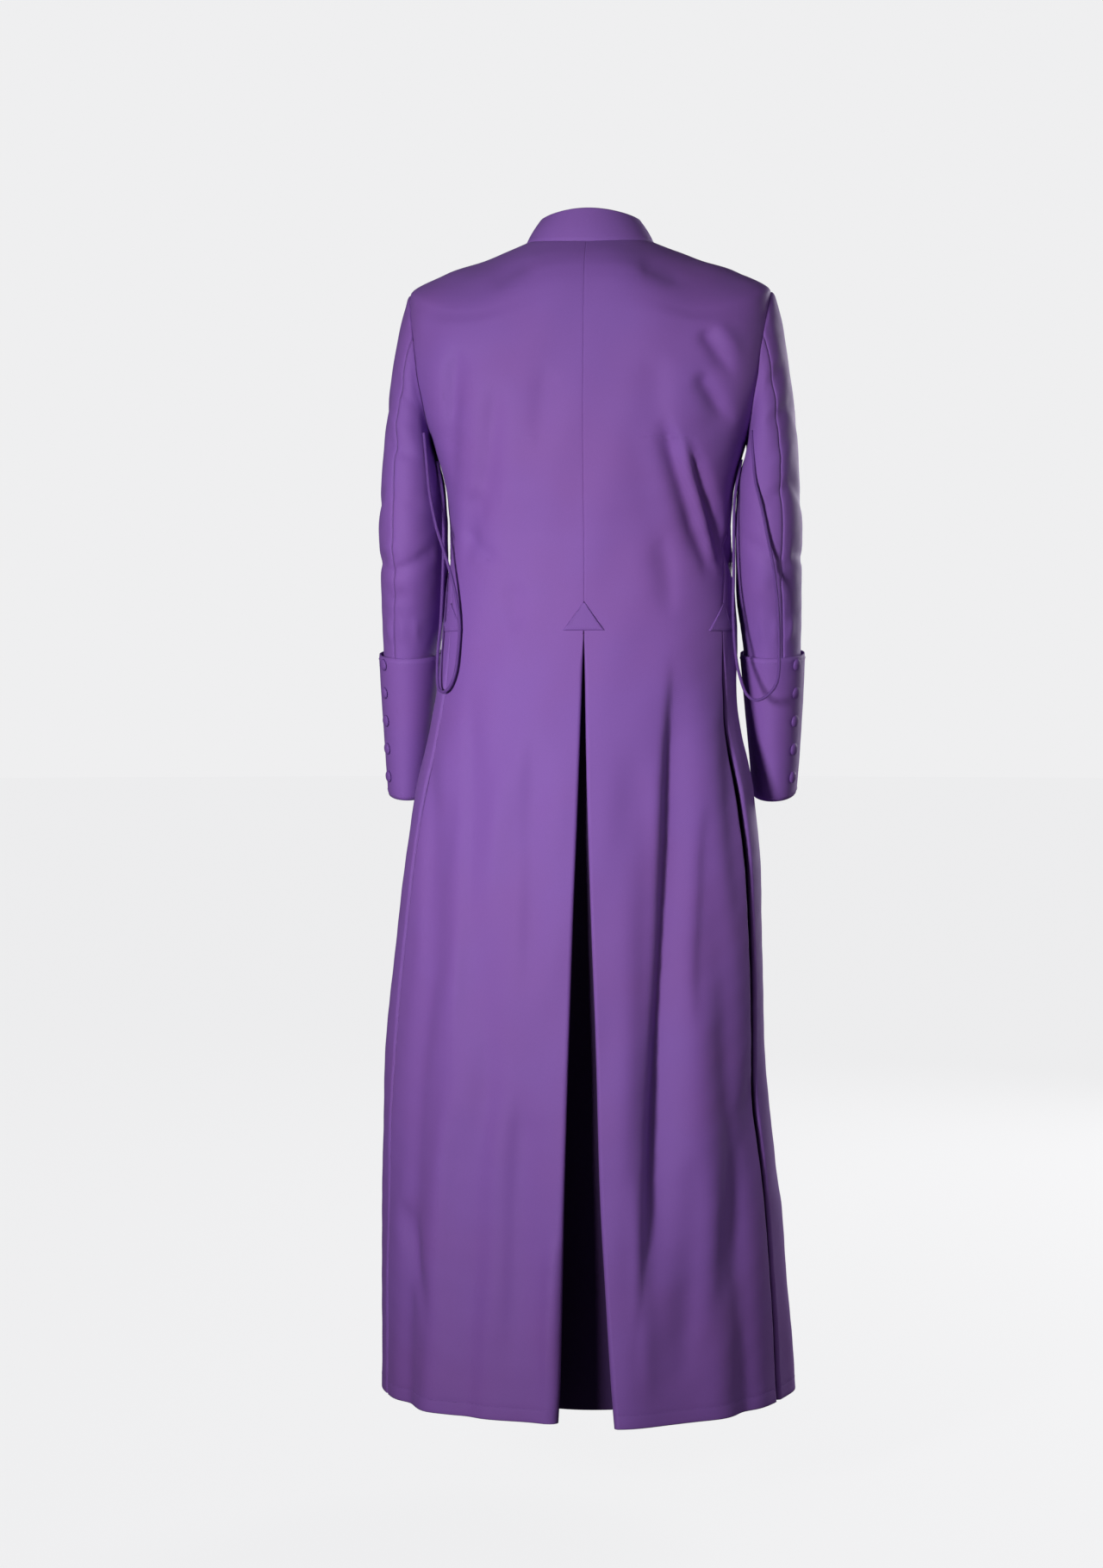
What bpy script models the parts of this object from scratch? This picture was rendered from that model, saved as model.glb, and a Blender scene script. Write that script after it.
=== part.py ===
# A long purple cassock in its worn form: hollow, open at the neck, armholes, cuffs and hem.
# Metres, +Z up. The origin is the middle of the neck at the level of the collar's back seam.
# The front faces -Y, the back +Y, and the wearer's left is +X.

import math

import bmesh
import bpy
from mathutils import Vector
from mathutils.bvhtree import BVHTree

# Cloth and seams
CLOTH = 0.0020
SEAM_GAP = 0.0003
LAID_ON_GAP = 0.0005
MITRE_LIMIT = 0.45

# Body: levels are heights at the side, from the neck seam to the hem
NECK_LEVEL = 0.006
SHOULDER_TIP_LEVEL = -0.054
ARMPIT_LEVEL = -0.235
SEAM_END_LEVEL = -0.4625
PLEAT_HEAD_LEVEL = -0.465
HEM_LEVEL = -1.376
SHOULDER_STEPS = 4
ARMHOLE_STEPS = 8
WAIST_STEPS = 6
SKIRT_STEPS = 11
PANEL_COLUMNS = 8
EDGE_CROWDING = 4
LAP_CROWDING = 3
ARMHOLE_HALF_DEPTH = 0.062
SIDE_SEAM_ANGLE = math.radians(74)

# A section at each level. Squareness 2 is an ellipse; left_extra widens the left and narrows the right
BODY_COLUMNS = ("level", "back_rise", "front_drop", "half_width", "back_y", "side_y", "front_y",
                "squareness", "left_extra", "shoulder_dip")
BODY_SECTIONS = (
    (0.0060, -0.0060, -0.081, 0.0770, 0.066, -0.002, -0.070, 2.00, 0.0, 0.000),
    (-0.0135, -0.0045, -0.072, 0.1280, 0.088, -0.004, -0.086, 2.00, 0.0, 0.010),
    (-0.0280, -0.0060, -0.068, 0.1720, 0.100, -0.005, -0.095, 2.15, 0.0, 0.020),
    (-0.0540, -0.0030, -0.060, 0.2170, 0.109, -0.005, -0.102, 2.50, 0.0, 0.030),
    (-0.0805, -0.0020, -0.055, 0.2170, 0.114, -0.005, -0.108, 2.80, 0.0, 0.022),
    (-0.1445, 0.0, -0.038, 0.2135, 0.120, -0.004, -0.118, 3.00, 0.0, 0.006),
    (-0.2000, 0.0, -0.022, 0.2005, 0.123, -0.002, -0.125, 2.80, 0.0, 0.000),
    (-0.2350, 0.0, -0.015, 0.1880, 0.122, 0.000, -0.127, 2.60, 0.0, 0.000),
    (-0.3000, 0.0, -0.006, 0.1710, 0.114, 0.002, -0.122, 2.40, 0.0, 0.000),
    (-0.3500, 0.0, 0.0, 0.1668, 0.106, 0.002, -0.117, 2.35, 0.0, 0.000),
    (-0.4200, 0.0, 0.0, 0.1725, 0.103, 0.002, -0.117, 2.30, 0.001, 0.000),
    (-0.4650, 0.0, 0.0, 0.1760, 0.107, 0.002, -0.120, 2.25, 0.002, 0.000),
    (-0.5230, 0.0, 0.0, 0.1800, 0.115, 0.001, -0.125, 2.20, 0.004, 0.000),
    (-0.5790, 0.0, 0.0, 0.1880, 0.125, 0.000, -0.132, 2.15, 0.006, 0.000),
    (-0.6590, 0.0, 0.0, 0.2057, 0.137, 0.000, -0.140, 2.10, 0.007, 0.000),
    (-0.8000, 0.0, 0.0, 0.2212, 0.156, 0.000, -0.156, 2.05, 0.0115, 0.000),
    (-0.9670, 0.0, 0.0, 0.2312, 0.176, 0.000, -0.175, 2.00, 0.018, 0.000),
    (-1.1170, 0.0, 0.0, 0.2396, 0.192, 0.000, -0.190, 2.00, 0.013, 0.000),
    (-1.3760, 0.0, 0.0, 0.2482, 0.212, 0.000, -0.212, 2.00, 0.005, 0.000),
)

# The dip behind and before the shoulder line is deepest where the sine squared is two thirds
DIP_SCALE = 6.75

# Large folds: angles in degrees from centre back, towards the wearer's left; depth is outward
FOLD_COLUMNS = ("top_angle", "top", "low_angle", "low", "half_width", "top_depth", "low_depth")
FOLDS = (
    (-25, -0.55, -29, -1.24, 0.024, -0.006, -0.009),
    (-13, -0.90, -14, HEM_LEVEL, 0.050, 0.002, 0.020),
    (-44, -0.75, -46, HEM_LEVEL, 0.026, 0.003, 0.007),
    (-58, -0.70, -57, HEM_LEVEL, 0.018, -0.003, -0.006),
    (19, -0.85, 18, HEM_LEVEL, 0.050, -0.002, -0.014),
    (33, -0.62, 37, HEM_LEVEL, 0.018, -0.004, -0.007),
    (46, -0.60, 50, HEM_LEVEL, 0.020, 0.003, 0.006),
    (58, -0.58, 61, HEM_LEVEL, 0.016, -0.003, -0.006),
    (-88, -1.10, -88, HEM_LEVEL, 0.030, 0.002, 0.007),
    (104, -0.62, 108, HEM_LEVEL, 0.022, -0.003, -0.009),
    (124, -0.70, 126, HEM_LEVEL, 0.030, 0.003, 0.009),
    (145, -0.60, 146, HEM_LEVEL, 0.022, -0.003, -0.010),
    (-106, -0.66, -109, HEM_LEVEL, 0.022, -0.003, -0.009),
    (-127, -0.60, -129, HEM_LEVEL, 0.028, 0.003, 0.009),
    (-147, -0.68, -149, HEM_LEVEL, 0.022, -0.003, -0.009),
    (-47, -0.10, -62, -0.24, 0.018, 0.0, -0.004),
    (48, -0.11, 60, -0.22, 0.016, 0.0, -0.003),
    (-24, -0.20, -52, -0.42, 0.020, -0.002, -0.003),
    (137, -0.12, 118, -0.24, 0.020, 0.0, -0.004),
    (-135, -0.13, -118, -0.25, 0.020, 0.0, -0.004),
)
FOLD_FADE = 0.2
FOLD_FADE_DEPTH = 0.030

# Inverted pleats: half the gap and the edge's radius on the left and right, then the inner fold
PLEAT_COLUMNS = ("level", "gap_left", "gap_right", "edge_left", "edge_right", "reach", "depth")
BACK_PLEAT = (
    (PLEAT_HEAD_LEVEL, 0.0003, 0.0003, 0.0040, 0.0040, 0.034, 0.0135),
    (-0.630, 0.0040, 0.0050, 0.0040, 0.0040, 0.040, 0.022),
    (-0.800, 0.0090, 0.0120, 0.0040, 0.0040, 0.050, 0.042),
    (-0.934, 0.0125, 0.0185, 0.0050, 0.0040, 0.060, 0.062),
    (-1.117, 0.0170, 0.0250, 0.0080, 0.0040, 0.070, 0.085),
    (-1.217, 0.0190, 0.0310, 0.0120, 0.0040, 0.075, 0.098),
    (-1.328, 0.0220, 0.0380, 0.0180, 0.0050, 0.083, 0.112),
    (HEM_LEVEL, 0.0250, 0.0420, 0.0220, 0.0050, 0.088, 0.119),
)
SIDE_PLEAT = (
    (PLEAT_HEAD_LEVEL, 0.0003, 0.0003, 0.0040, 0.0040, 0.026, 0.0135),
    (-0.600, 0.0040, 0.0040, 0.0040, 0.0040, 0.030, 0.018),
    (-0.700, 0.0055, 0.0055, 0.0040, 0.0040, 0.032, 0.022),
    (-0.900, 0.0055, 0.0055, 0.0040, 0.0040, 0.036, 0.028),
    (-1.100, 0.0040, 0.0040, 0.0040, 0.0040, 0.040, 0.034),
    (HEM_LEVEL, 0.0040, 0.0040, 0.0050, 0.0050, 0.046, 0.042),
)
INNER_FOLD_RADIUS = 0.0020
EDGE_TURN_STEPS = 2

# Front: the left panel laps over the right, which steps in beneath it
FRONT_LAP = 0.019
LAP_STEP_START = 0.0215
LAP_STEP_END = 0.032
LAP_DEPTH = CLOTH + 0.0007

# Collar: a stand on the neck seam, leaning in to its top edge, with a slit at the front
COLLAR_TOP = dict(level=0.0337, back_rise=0.0076, front_drop=-0.080, half_width=0.0600, back_y=0.052,
                  side_y=-0.003, front_y=-0.064, squareness=2.0, left_extra=0.0, shoulder_dip=0.0)
COLLAR_STEPS = 3
COLLAR_HALF_SLIT = 0.004

# Sleeve: a cap from the armhole to the upper arm, then a section at each level to the wrist
SLEEVE_COLUMNS = ("outer_z", "inner_z", "outer_x", "inner_x", "middle_y", "half_depth", "back_drop",
                  "left_swing")
SLEEVE_SECTIONS = (
    (-0.300, -0.285, 0.2535, 0.1785, 0.000, 0.0670, 0.000, 0.0000),
    (-0.335, -0.328, 0.2550, 0.1785, 0.000, 0.0660, 0.000, 0.0000),
    (-0.370, -0.368, 0.2545, 0.1785, -0.002, 0.0645, 0.000, 0.0000),
    (-0.400, -0.400, 0.2540, 0.1790, -0.009, 0.0625, -0.002, 0.0005),
    (-0.440, -0.440, 0.2545, 0.1810, -0.027, 0.0595, -0.005, 0.0015),
    (-0.485, -0.485, 0.2535, 0.1850, -0.043, 0.0565, -0.007, 0.0030),
    (-0.530, -0.530, 0.2525, 0.1880, -0.055, 0.0545, -0.008, 0.0040),
    (-0.575, -0.575, 0.2508, 0.1910, -0.065, 0.0530, -0.009, 0.0050),
    (-0.620, -0.621, 0.2490, 0.1945, -0.074, 0.0515, -0.010, 0.0060),
    (-0.655, -0.657, 0.2470, 0.1970, -0.080, 0.0505, -0.010, 0.0070),
)
SLEEVE_SIDES = 2 * ARMHOLE_STEPS
CAP_STEPS = 5
CAP_LIFT = 0.016
CAP_OUTWARD = (0.55, 0.45)
CAP_BACKWARD = 0.35
CAP_DROP = (0.35, 0.60)
CAP_ARRIVAL = 0.38
BACK_SEAM_COLUMN = 3
FRONT_SEAM_COLUMN = 11
CUFF_TOP_ROW = 5
CUFF_FLARE = 0.0030

# Buttons: cloth-covered domes
BUTTON_RADIUS = 0.00725
BUTTON_HEIGHT = 0.0040
BUTTON_BEVEL = 0.0018
BUTTON_SIDES = 10
CUFF_BUTTON_COUNT = 5
CUFF_BUTTON_COLUMN = 2
CUFF_BUTTON_TOP = -0.5000
CUFF_BUTTON_SPACING = 0.0342
FRONT_BUTTON_COUNT = 20
FRONT_BUTTON_TOP = -0.096
FRONT_BUTTON_SPACING = 0.0620

# Triangles stitched over the pleat heads
TACK_HALF_WIDTH = 0.0245
TACK_HEIGHT = 0.034
TACK_APEX_LEVEL = -0.4270
TACK_CLOTH = 0.0012
TACK_STEPS = 6
TACK_FEEL = 0.0025

# Cincture loops: a narrow cord sewn under each arm. Each route runs from its sewn end behind the
# armhole, down and round, and up beside the body to its other end under the arm
CORD_RADIUS = 0.0019
CORD_POINT_SPACING = 0.0111
ROUTE_STEPS = 24
LOOP_LEFT = (
    (0.1952, 0.0525, -0.2240), (0.1915, 0.0554, -0.2600), (0.1880, 0.0560, -0.2960),
    (0.1800, 0.0590, -0.3350), (0.1710, 0.0620, -0.3630), (0.1585, 0.0650, -0.4050),
    (0.1510, 0.0690, -0.4470), (0.1515, 0.0720, -0.4780), (0.1555, 0.0735, -0.5100),
    (0.1640, 0.0690, -0.5290), (0.1735, 0.0590, -0.5330), (0.1795, 0.0500, -0.5220),
    (0.1800, 0.0430, -0.4860), (0.1770, 0.0390, -0.4500), (0.1750, 0.0350, -0.4000),
    (0.1740, 0.0330, -0.3500), (0.1752, 0.0300, -0.3000), (0.1827, 0.0245, -0.2560),
)
LOOP_RIGHT = (
    (-0.1952, 0.0525, -0.2240), (-0.1975, 0.0598, -0.2577), (-0.2000, 0.0642, -0.2845),
    (-0.2070, 0.0688, -0.3130), (-0.2150, 0.0700, -0.3520), (-0.2215, 0.0670, -0.3870),
    (-0.2265, 0.0630, -0.4300), (-0.2285, 0.0610, -0.4800), (-0.2270, 0.0590, -0.5170),
    (-0.2170, 0.0570, -0.5350), (-0.2015, 0.0540, -0.5430), (-0.1895, 0.0500, -0.5350),
    (-0.1820, 0.0450, -0.5150), (-0.1775, 0.0400, -0.4950), (-0.1745, 0.0370, -0.4650),
    (-0.1735, 0.0360, -0.4300), (-0.1740, 0.0350, -0.3900), (-0.1740, 0.0330, -0.3450),
    (-0.1752, 0.0300, -0.3000), (-0.1827, 0.0245, -0.2560),
)

# How far above the cloth the small pieces start to be laid down
REACH_ABOVE = 0.012

# Small steps in level and angle that the cloth's directions are measured over
LEVEL_FEEL = 0.002
ANGLE_FEEL = 0.01

# Cloth colours and finish
PURPLE = (0.205, 0.088, 0.372, 1.0)
PURPLE_DEEP = (0.150, 0.062, 0.285, 1.0)
CLOTH_ROUGHNESS = 0.75
CORD_ROUGHNESS = 0.65
SHARP_ANGLE = math.radians(40)


def table_value(columns, rows, name, level):
    """A column of a table at any level, as a smooth curve that never passes its own rows."""
    place = columns.index(name)
    levels = [row[0] for row in rows]
    values = [row[place] for row in rows]
    if level >= levels[0]:
        return values[0]
    if level <= levels[-1]:
        return values[-1]
    slopes = [(values[i + 1] - values[i]) / (levels[i + 1] - levels[i]) for i in range(len(rows) - 1)]
    i = next(k for k in range(len(rows) - 1) if level >= levels[k + 1])

    def tangent(k):
        if k == 0 or k == len(slopes):
            return slopes[min(k, len(slopes) - 1)]
        before, after = slopes[k - 1], slopes[k]
        if before * after <= 0.0:
            return 0.0
        return 2.0 * before * after / (before + after)

    span = levels[i + 1] - levels[i]
    t = (level - levels[i]) / span
    return (values[i] * (1 + 2 * t) * (1 - t) ** 2 + tangent(i) * span * t * (1 - t) ** 2
            + values[i + 1] * t * t * (3 - 2 * t) - tangent(i + 1) * span * t * t * (1 - t))


def body_section(level):
    return {name: table_value(BODY_COLUMNS, BODY_SECTIONS, name, level) for name in BODY_COLUMNS[1:]}


def section_point(section, level, angle):
    """A point of a section; angle 0 is centre back and a quarter turn is the wearer's left side."""
    behind = math.cos(angle) >= 0.0
    depth = section["back_y"] - section["side_y"] if behind else section["side_y"] - section["front_y"]
    rise = section["back_rise"] if behind else section["front_drop"]
    power = section["squareness"]
    width = section["half_width"] + math.copysign(section["left_extra"], math.sin(angle))
    dip = section["shoulder_dip"] * DIP_SCALE * math.sin(angle) ** 4 * math.cos(angle) ** 2
    across = abs(math.sin(angle) / width) ** power
    along = abs(math.cos(angle) / depth) ** power
    radius = (across + along) ** (-1.0 / power)
    return Vector((radius * math.sin(angle), section["side_y"] + radius * math.cos(angle),
                   level + rise * math.cos(angle) ** 2 - dip))


def body_point(level, angle):
    return section_point(body_section(level), level, angle)


def body_normal(level, angle):
    upper = min(level + LEVEL_FEEL, NECK_LEVEL)
    lower = max(level - LEVEL_FEEL, HEM_LEVEL)
    down = body_point(lower, angle) - body_point(upper, angle)
    around = body_point(level, angle + ANGLE_FEEL) - body_point(level, angle - ANGLE_FEEL)
    return around.cross(down).normalized()


def smooth_step(value):
    value = min(1.0, max(0.0, value))
    return value * value * (3.0 - 2.0 * value)


def fold_depth(level, angle):
    """How far the folds push the cloth out at a place."""
    total = 0.0
    radius = (body_point(level, angle) - Vector((0.0, 0.0, level))).length
    for row in FOLDS:
        fold = dict(zip(FOLD_COLUMNS, row))
        run = (fold["top"] - level) / (fold["top"] - fold["low"])
        if not 0.0 <= run <= 1.0:
            continue
        fade = smooth_step(run / FOLD_FADE)
        if fold["low"] > HEM_LEVEL:
            fade *= smooth_step((1.0 - run) / FOLD_FADE)
        centre = math.radians(fold["top_angle"] + (fold["low_angle"] - fold["top_angle"]) * run)
        apart = (angle - centre + math.pi) % (2.0 * math.pi) - math.pi
        depth = fold["top_depth"] + (fold["low_depth"] - fold["top_depth"]) * run
        total += depth * fade * math.exp(-(apart * radius / fold["half_width"]) ** 2)
    return total


def cloth_point(level, angle, across=0.0, depth=0.0):
    """A point of the body's cloth, moved along the section by across and inward by depth."""
    if across:
        run = body_point(level, angle + ANGLE_FEEL) - body_point(level, angle - ANGLE_FEEL)
        angle = angle + across * 2.0 * ANGLE_FEEL / run.length
    fade = max(0.0, 1.0 - max(0.0, depth) / FOLD_FADE_DEPTH)
    lift = fold_depth(level, angle) * fade - depth
    return body_point(level, angle) + body_normal(level, angle) * lift


def steps_between(start, end, count):
    return [start + (end - start) * i / count for i in range(1, count + 1)]


def body_levels():
    """The heights of the rows of every body panel, closer together around the armhole's ends."""
    middle = 0.5 * (SHOULDER_TIP_LEVEL + ARMPIT_LEVEL)
    half = 0.5 * (SHOULDER_TIP_LEVEL - ARMPIT_LEVEL)
    levels = [NECK_LEVEL] + steps_between(NECK_LEVEL, SHOULDER_TIP_LEVEL, SHOULDER_STEPS)
    levels += [middle + half * math.cos(math.pi * k / ARMHOLE_STEPS) for k in range(1, ARMHOLE_STEPS + 1)]
    levels += steps_between(ARMPIT_LEVEL, SEAM_END_LEVEL, WAIST_STEPS) + [PLEAT_HEAD_LEVEL]
    levels += steps_between(PLEAT_HEAD_LEVEL, HEM_LEVEL, SKIRT_STEPS)
    return levels


LEVELS = body_levels()
TIP_ROW = SHOULDER_STEPS
PIT_ROW = TIP_ROW + ARMHOLE_STEPS
HEAD_ROW = PIT_ROW + WAIST_STEPS + 1


def outer_angle(row, front):
    """The angle at which a panel ends: shoulder seam, armhole edge or side seam."""
    level = LEVELS[row]
    quarter = 0.5 * math.pi
    if row <= TIP_ROW or row == PIT_ROW:
        return quarter
    if row < PIT_ROW:
        section = body_section(level)
        depth = section["side_y"] - section["front_y"] if front else section["back_y"] - section["side_y"]
        y = ARMHOLE_HALF_DEPTH * math.sin(math.pi * (row - TIP_ROW) / ARMHOLE_STEPS)
        power = section["squareness"]
        x = section["half_width"] * (1.0 - (y / depth) ** power) ** (1.0 / power)
        return quarter + math.atan2(y, x) * (1 if front else -1)
    run = smooth_step((ARMPIT_LEVEL - level) / (ARMPIT_LEVEL - PLEAT_HEAD_LEVEL))
    return quarter + (SIDE_SEAM_ANGLE - quarter) * run


class Wall:
    """A sheet of cloth with thickness: a grid of outer points and the inner points behind them."""

    def __init__(self, name, closed_round=False):
        self.name = name
        self.outer = {}
        self.inner = {}
        self.closed_round = closed_round

    def add(self, row, column, outer, inner):
        self.outer[row, column] = outer.copy()
        self.inner[row, column] = inner.copy()

    def shift(self, place, move):
        self.outer[place] = self.outer[place] + move
        self.inner[place] = self.inner[place] + move

    def cells(self):
        rows = [place[0] for place in self.outer]
        columns = [place[1] for place in self.outer]
        width = max(columns) + 1
        for row in range(min(rows), max(rows)):
            for column in range(min(columns), max(columns) + (1 if self.closed_round else 0)):
                after = (column + 1) % width if self.closed_round else column + 1
                corners = ((row, column), (row + 1, column), (row + 1, after), (row, after))
                if all(corner in self.outer for corner in corners):
                    yield corners

    def build(self, colour, roughness=CLOTH_ROUGHNESS):
        mesh = bmesh.new()
        outer = {place: mesh.verts.new(point) for place, point in self.outer.items()}
        inner = {place: mesh.verts.new(point) for place, point in self.inner.items()}
        edges = {}
        for corners in self.cells():
            a, b, c, d = corners
            if (self.outer[a] - self.outer[c]).length > (self.outer[b] - self.outer[d]).length:
                a, b, c, d = b, c, d, a
            for triangle in ((a, b, c), (a, c, d)):
                mesh.faces.new([outer[corner] for corner in triangle])
                mesh.faces.new([inner[corner] for corner in reversed(triangle)])
            for i in range(4):
                edge = (corners[i], corners[(i + 1) % 4])
                if edge[::-1] in edges:
                    del edges[edge[::-1]]
                else:
                    edges[edge] = True
        for start, end in edges:
            # Neighbours split their facing edges along the same line, from the higher outer point
            if self.outer[start].z > self.outer[end].z:
                mesh.faces.new([outer[end], outer[start], inner[end]])
                mesh.faces.new([outer[start], inner[start], inner[end]])
            else:
                mesh.faces.new([outer[end], outer[start], inner[start]])
                mesh.faces.new([outer[end], inner[start], inner[end]])
        loose = [vert for vert in mesh.verts if not vert.link_faces]
        bmesh.ops.delete(mesh, geom=loose, context="VERTS")
        bmesh.ops.recalc_face_normals(mesh, faces=mesh.faces)
        return add_object(self.name, mesh, colour, roughness)


def make_material(name, colour, roughness):
    material = bpy.data.materials.new(name)
    material.use_nodes = True
    shader = material.node_tree.nodes["Principled BSDF"]
    shader.inputs["Base Color"].default_value = colour
    shader.inputs["Roughness"].default_value = roughness
    shader.inputs["Metallic"].default_value = 0.0
    return material


def add_object(name, mesh, colour, roughness):
    data = bpy.data.meshes.new(name)
    mesh.to_mesh(data)
    mesh.free()
    data.shade_smooth()
    data.set_sharp_from_angle(angle=SHARP_ANGLE)
    data.materials.append(make_material(name, colour, roughness))
    item = bpy.data.objects.new(name, data)
    COLLECTION.objects.link(item)
    return item


def tangents_along(points, ring=False):
    count = len(points)
    if ring:
        return [points[(i + 1) % count] - points[i - 1] for i in range(count)]
    return [points[min(i + 1, count - 1)] - points[max(i - 1, 0)] for i in range(count)]


def seam(first, first_places, second, second_places, first_normals, second_normals, tangents, toward):
    """Join two walls edge to edge: one shared mitre line, then half the seam gap back on each side."""
    for i, (first_place, second_place) in enumerate(zip(first_places, second_places)):
        normal = (first_normals[i] + second_normals[i]).normalized()
        reach = CLOTH / max(MITRE_LIMIT, normal.dot(first_normals[i]))
        move = tangents[i].cross(normal).normalized() * (0.5 * SEAM_GAP * toward)
        for wall, place in ((first, first_place), (second, second_place)):
            wall.inner[place] = wall.outer[place] - normal * reach
        first.shift(first_place, -move)
        second.shift(second_place, move)


def pleat_value(table, name, level):
    return table_value(PLEAT_COLUMNS, table, name, level)


def turned_edge(wall, row, level, angle, side, gap, radius, first_column, step):
    """The folded edge of a panel at a pleat: it turns a quarter circle inward around its radius."""
    for i in range(EDGE_TURN_STEPS + 1):
        turn = 0.5 * math.pi * i / EDGE_TURN_STEPS
        points = []
        for size in (radius, radius - CLOTH):
            across = side * (gap + radius - size * math.sin(turn))
            points.append(cloth_point(level, angle, across, radius - size * math.cos(turn)))
        wall.add(row, first_column + step * i, *points)


def back_panel(name, side):
    """Half of the back, from the centre seam and pleat out to the shoulder, armhole and side."""
    wall = Wall(name)
    centre_side = "left" if side > 0 else "right"
    for row, level in enumerate(LEVELS):
        start, end = 0.0, side * outer_angle(row, front=False)
        if row >= HEAD_ROW:
            gap = pleat_value(BACK_PLEAT, "gap_" + centre_side, level)
            radius = pleat_value(BACK_PLEAT, "edge_" + centre_side, level)
            turned_edge(wall, row, level, 0.0, side, gap, radius, 0, -1)
            side_gap = pleat_value(SIDE_PLEAT, "gap_left", level)
            side_radius = pleat_value(SIDE_PLEAT, "edge_left", level)
            turned_edge(wall, row, level, end, -side, side_gap, side_radius, PANEL_COLUMNS, 1)
            start_across, end_across = side * (gap + radius), -side * (side_gap + side_radius)
        else:
            start_across = end_across = 0.0
        for column in range(PANEL_COLUMNS + 1):
            u = column / PANEL_COLUMNS
            across = start_across * (1 - u) ** EDGE_CROWDING + end_across * u ** EDGE_CROWDING
            angle = start + (end - start) * u
            if column in (0, PANEL_COLUMNS) and row >= HEAD_ROW:
                continue
            wall.add(row, column, cloth_point(level, angle, across),
                     cloth_point(level, angle, across, CLOTH))
    return wall


def front_panel(name, side):
    """Half of the front, from the lap at centre front out to the shoulder, armhole and side."""
    wall = Wall(name)
    under = side < 0
    for row, level in enumerate(LEVELS):
        end = side * outer_angle(row, front=True)
        centre = side * math.pi
        end_across = 0.0
        if row >= HEAD_ROW:
            end = side * outer_angle(row, front=False)
            side_gap = pleat_value(SIDE_PLEAT, "gap_right", level)
            side_radius = pleat_value(SIDE_PLEAT, "edge_right", level)
            turned_edge(wall, row, level, end, side, side_gap, side_radius, PANEL_COLUMNS, 1)
            end_across = side * (side_gap + side_radius)
        lap = [(side * FRONT_LAP, -3), (side * COLLAR_HALF_SLIT, -2), (-side * COLLAR_HALF_SLIT, -1),
               (-side * LAP_STEP_START, 0)]
        for across, column in lap:
            depth = LAP_DEPTH if under else 0.0
            wall.add(row, column, cloth_point(level, centre, across, depth),
                     cloth_point(level, centre, across, depth + CLOTH))
        for column in range(1, PANEL_COLUMNS + 1):
            u = (column - 1) / (PANEL_COLUMNS - 1)
            across = end_across * u ** EDGE_CROWDING - side * LAP_STEP_END * (1 - u) ** LAP_CROWDING
            angle = centre + (end - centre) * u
            if column == PANEL_COLUMNS and row >= HEAD_ROW:
                continue
            wall.add(row, column, cloth_point(level, angle, across),
                     cloth_point(level, angle, across, CLOTH))
    return wall


def offset_profile(profile, distance):
    """The same line moved sideways, with mitred corners. The profile is (across, depth) pairs."""
    moved = []
    count = len(profile)
    for i in range(count):
        normals = []
        for a, b in ((i - 1, i), (i, i + 1)):
            if a >= 0 and b < count:
                run = Vector(profile[b]) - Vector(profile[a])
                normals.append(Vector((run.y, -run.x)).normalized())
        normal = sum(normals, Vector((0.0, 0.0))).normalized()
        reach = distance / max(MITRE_LIMIT, normal.dot(normals[0]))
        moved.append(tuple(Vector(profile[i]) + normal * reach))
    return moved


def pleat_half(gap, radius, reach, depth):
    """The underlay from a panel's turned edge, out to its inner fold and back to the middle."""
    start = radius + SEAM_GAP
    diagonal = math.sin(0.25 * math.pi)
    turn = (gap + (1.0 - diagonal) * radius, start + diagonal * radius)
    level_out = (gap + radius, start + radius)
    fold_start = (reach, depth - 2 * INNER_FOLD_RADIUS)
    middle = (0.5 * (level_out[0] + reach), 0.5 * (level_out[1] + fold_start[1]))
    return [(gap, start), turn, level_out, middle, fold_start,
            (reach + INNER_FOLD_RADIUS, depth - INNER_FOLD_RADIUS), (reach, depth),
            (0.5 * reach, depth), (0.0, depth)]


def pleat_underlay(name, table, side_angle, side):
    """The hidden cloth of an inverted pleat, from one panel's turned edge to the other's."""
    wall = Wall(name)
    for row in range(HEAD_ROW, len(LEVELS)):
        level = LEVELS[row]
        angle = side * side_angle
        size = {key: pleat_value(table, key, level) for key in PLEAT_COLUMNS[1:]}
        left = pleat_half(size["gap_left"], size["edge_left"], size["reach"], size["depth"])
        right = pleat_half(size["gap_right"], size["edge_right"], size["reach"], size["depth"])
        profile = left + [(-across, depth) for across, depth in reversed(right[:-1])]
        behind = offset_profile(profile, CLOTH)
        behind[0] = (size["gap_left"] + CLOTH, profile[0][1])
        behind[-1] = (-size["gap_right"] - CLOTH, profile[-1][1])
        for column, ((across, depth), (across_in, depth_in)) in enumerate(zip(profile, behind)):
            wall.add(row, column, cloth_point(level, angle, across, depth),
                     cloth_point(level, angle, across_in, depth_in))
    return wall


def sleeve_ring(sizes, side):
    """The outer points round a sleeve: column 0 at the outer edge, then round by the back."""
    ring = []
    for column in range(SLEEVE_SIDES):
        turn = 2.0 * math.pi * column / SLEEVE_SIDES
        outward, backward = math.cos(turn), math.sin(turn)
        share = 0.5 * (1.0 + outward)
        x = sizes["inner_x"] + (sizes["outer_x"] - sizes["inner_x"]) * share
        z = sizes["inner_z"] + (sizes["outer_z"] - sizes["inner_z"]) * share
        x += sizes["left_swing"] if side > 0 else 0.0
        ring.append(Vector((side * x, sizes["middle_y"] + sizes["half_depth"] * backward,
                            z + sizes["back_drop"] * backward)))
    return ring


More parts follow.
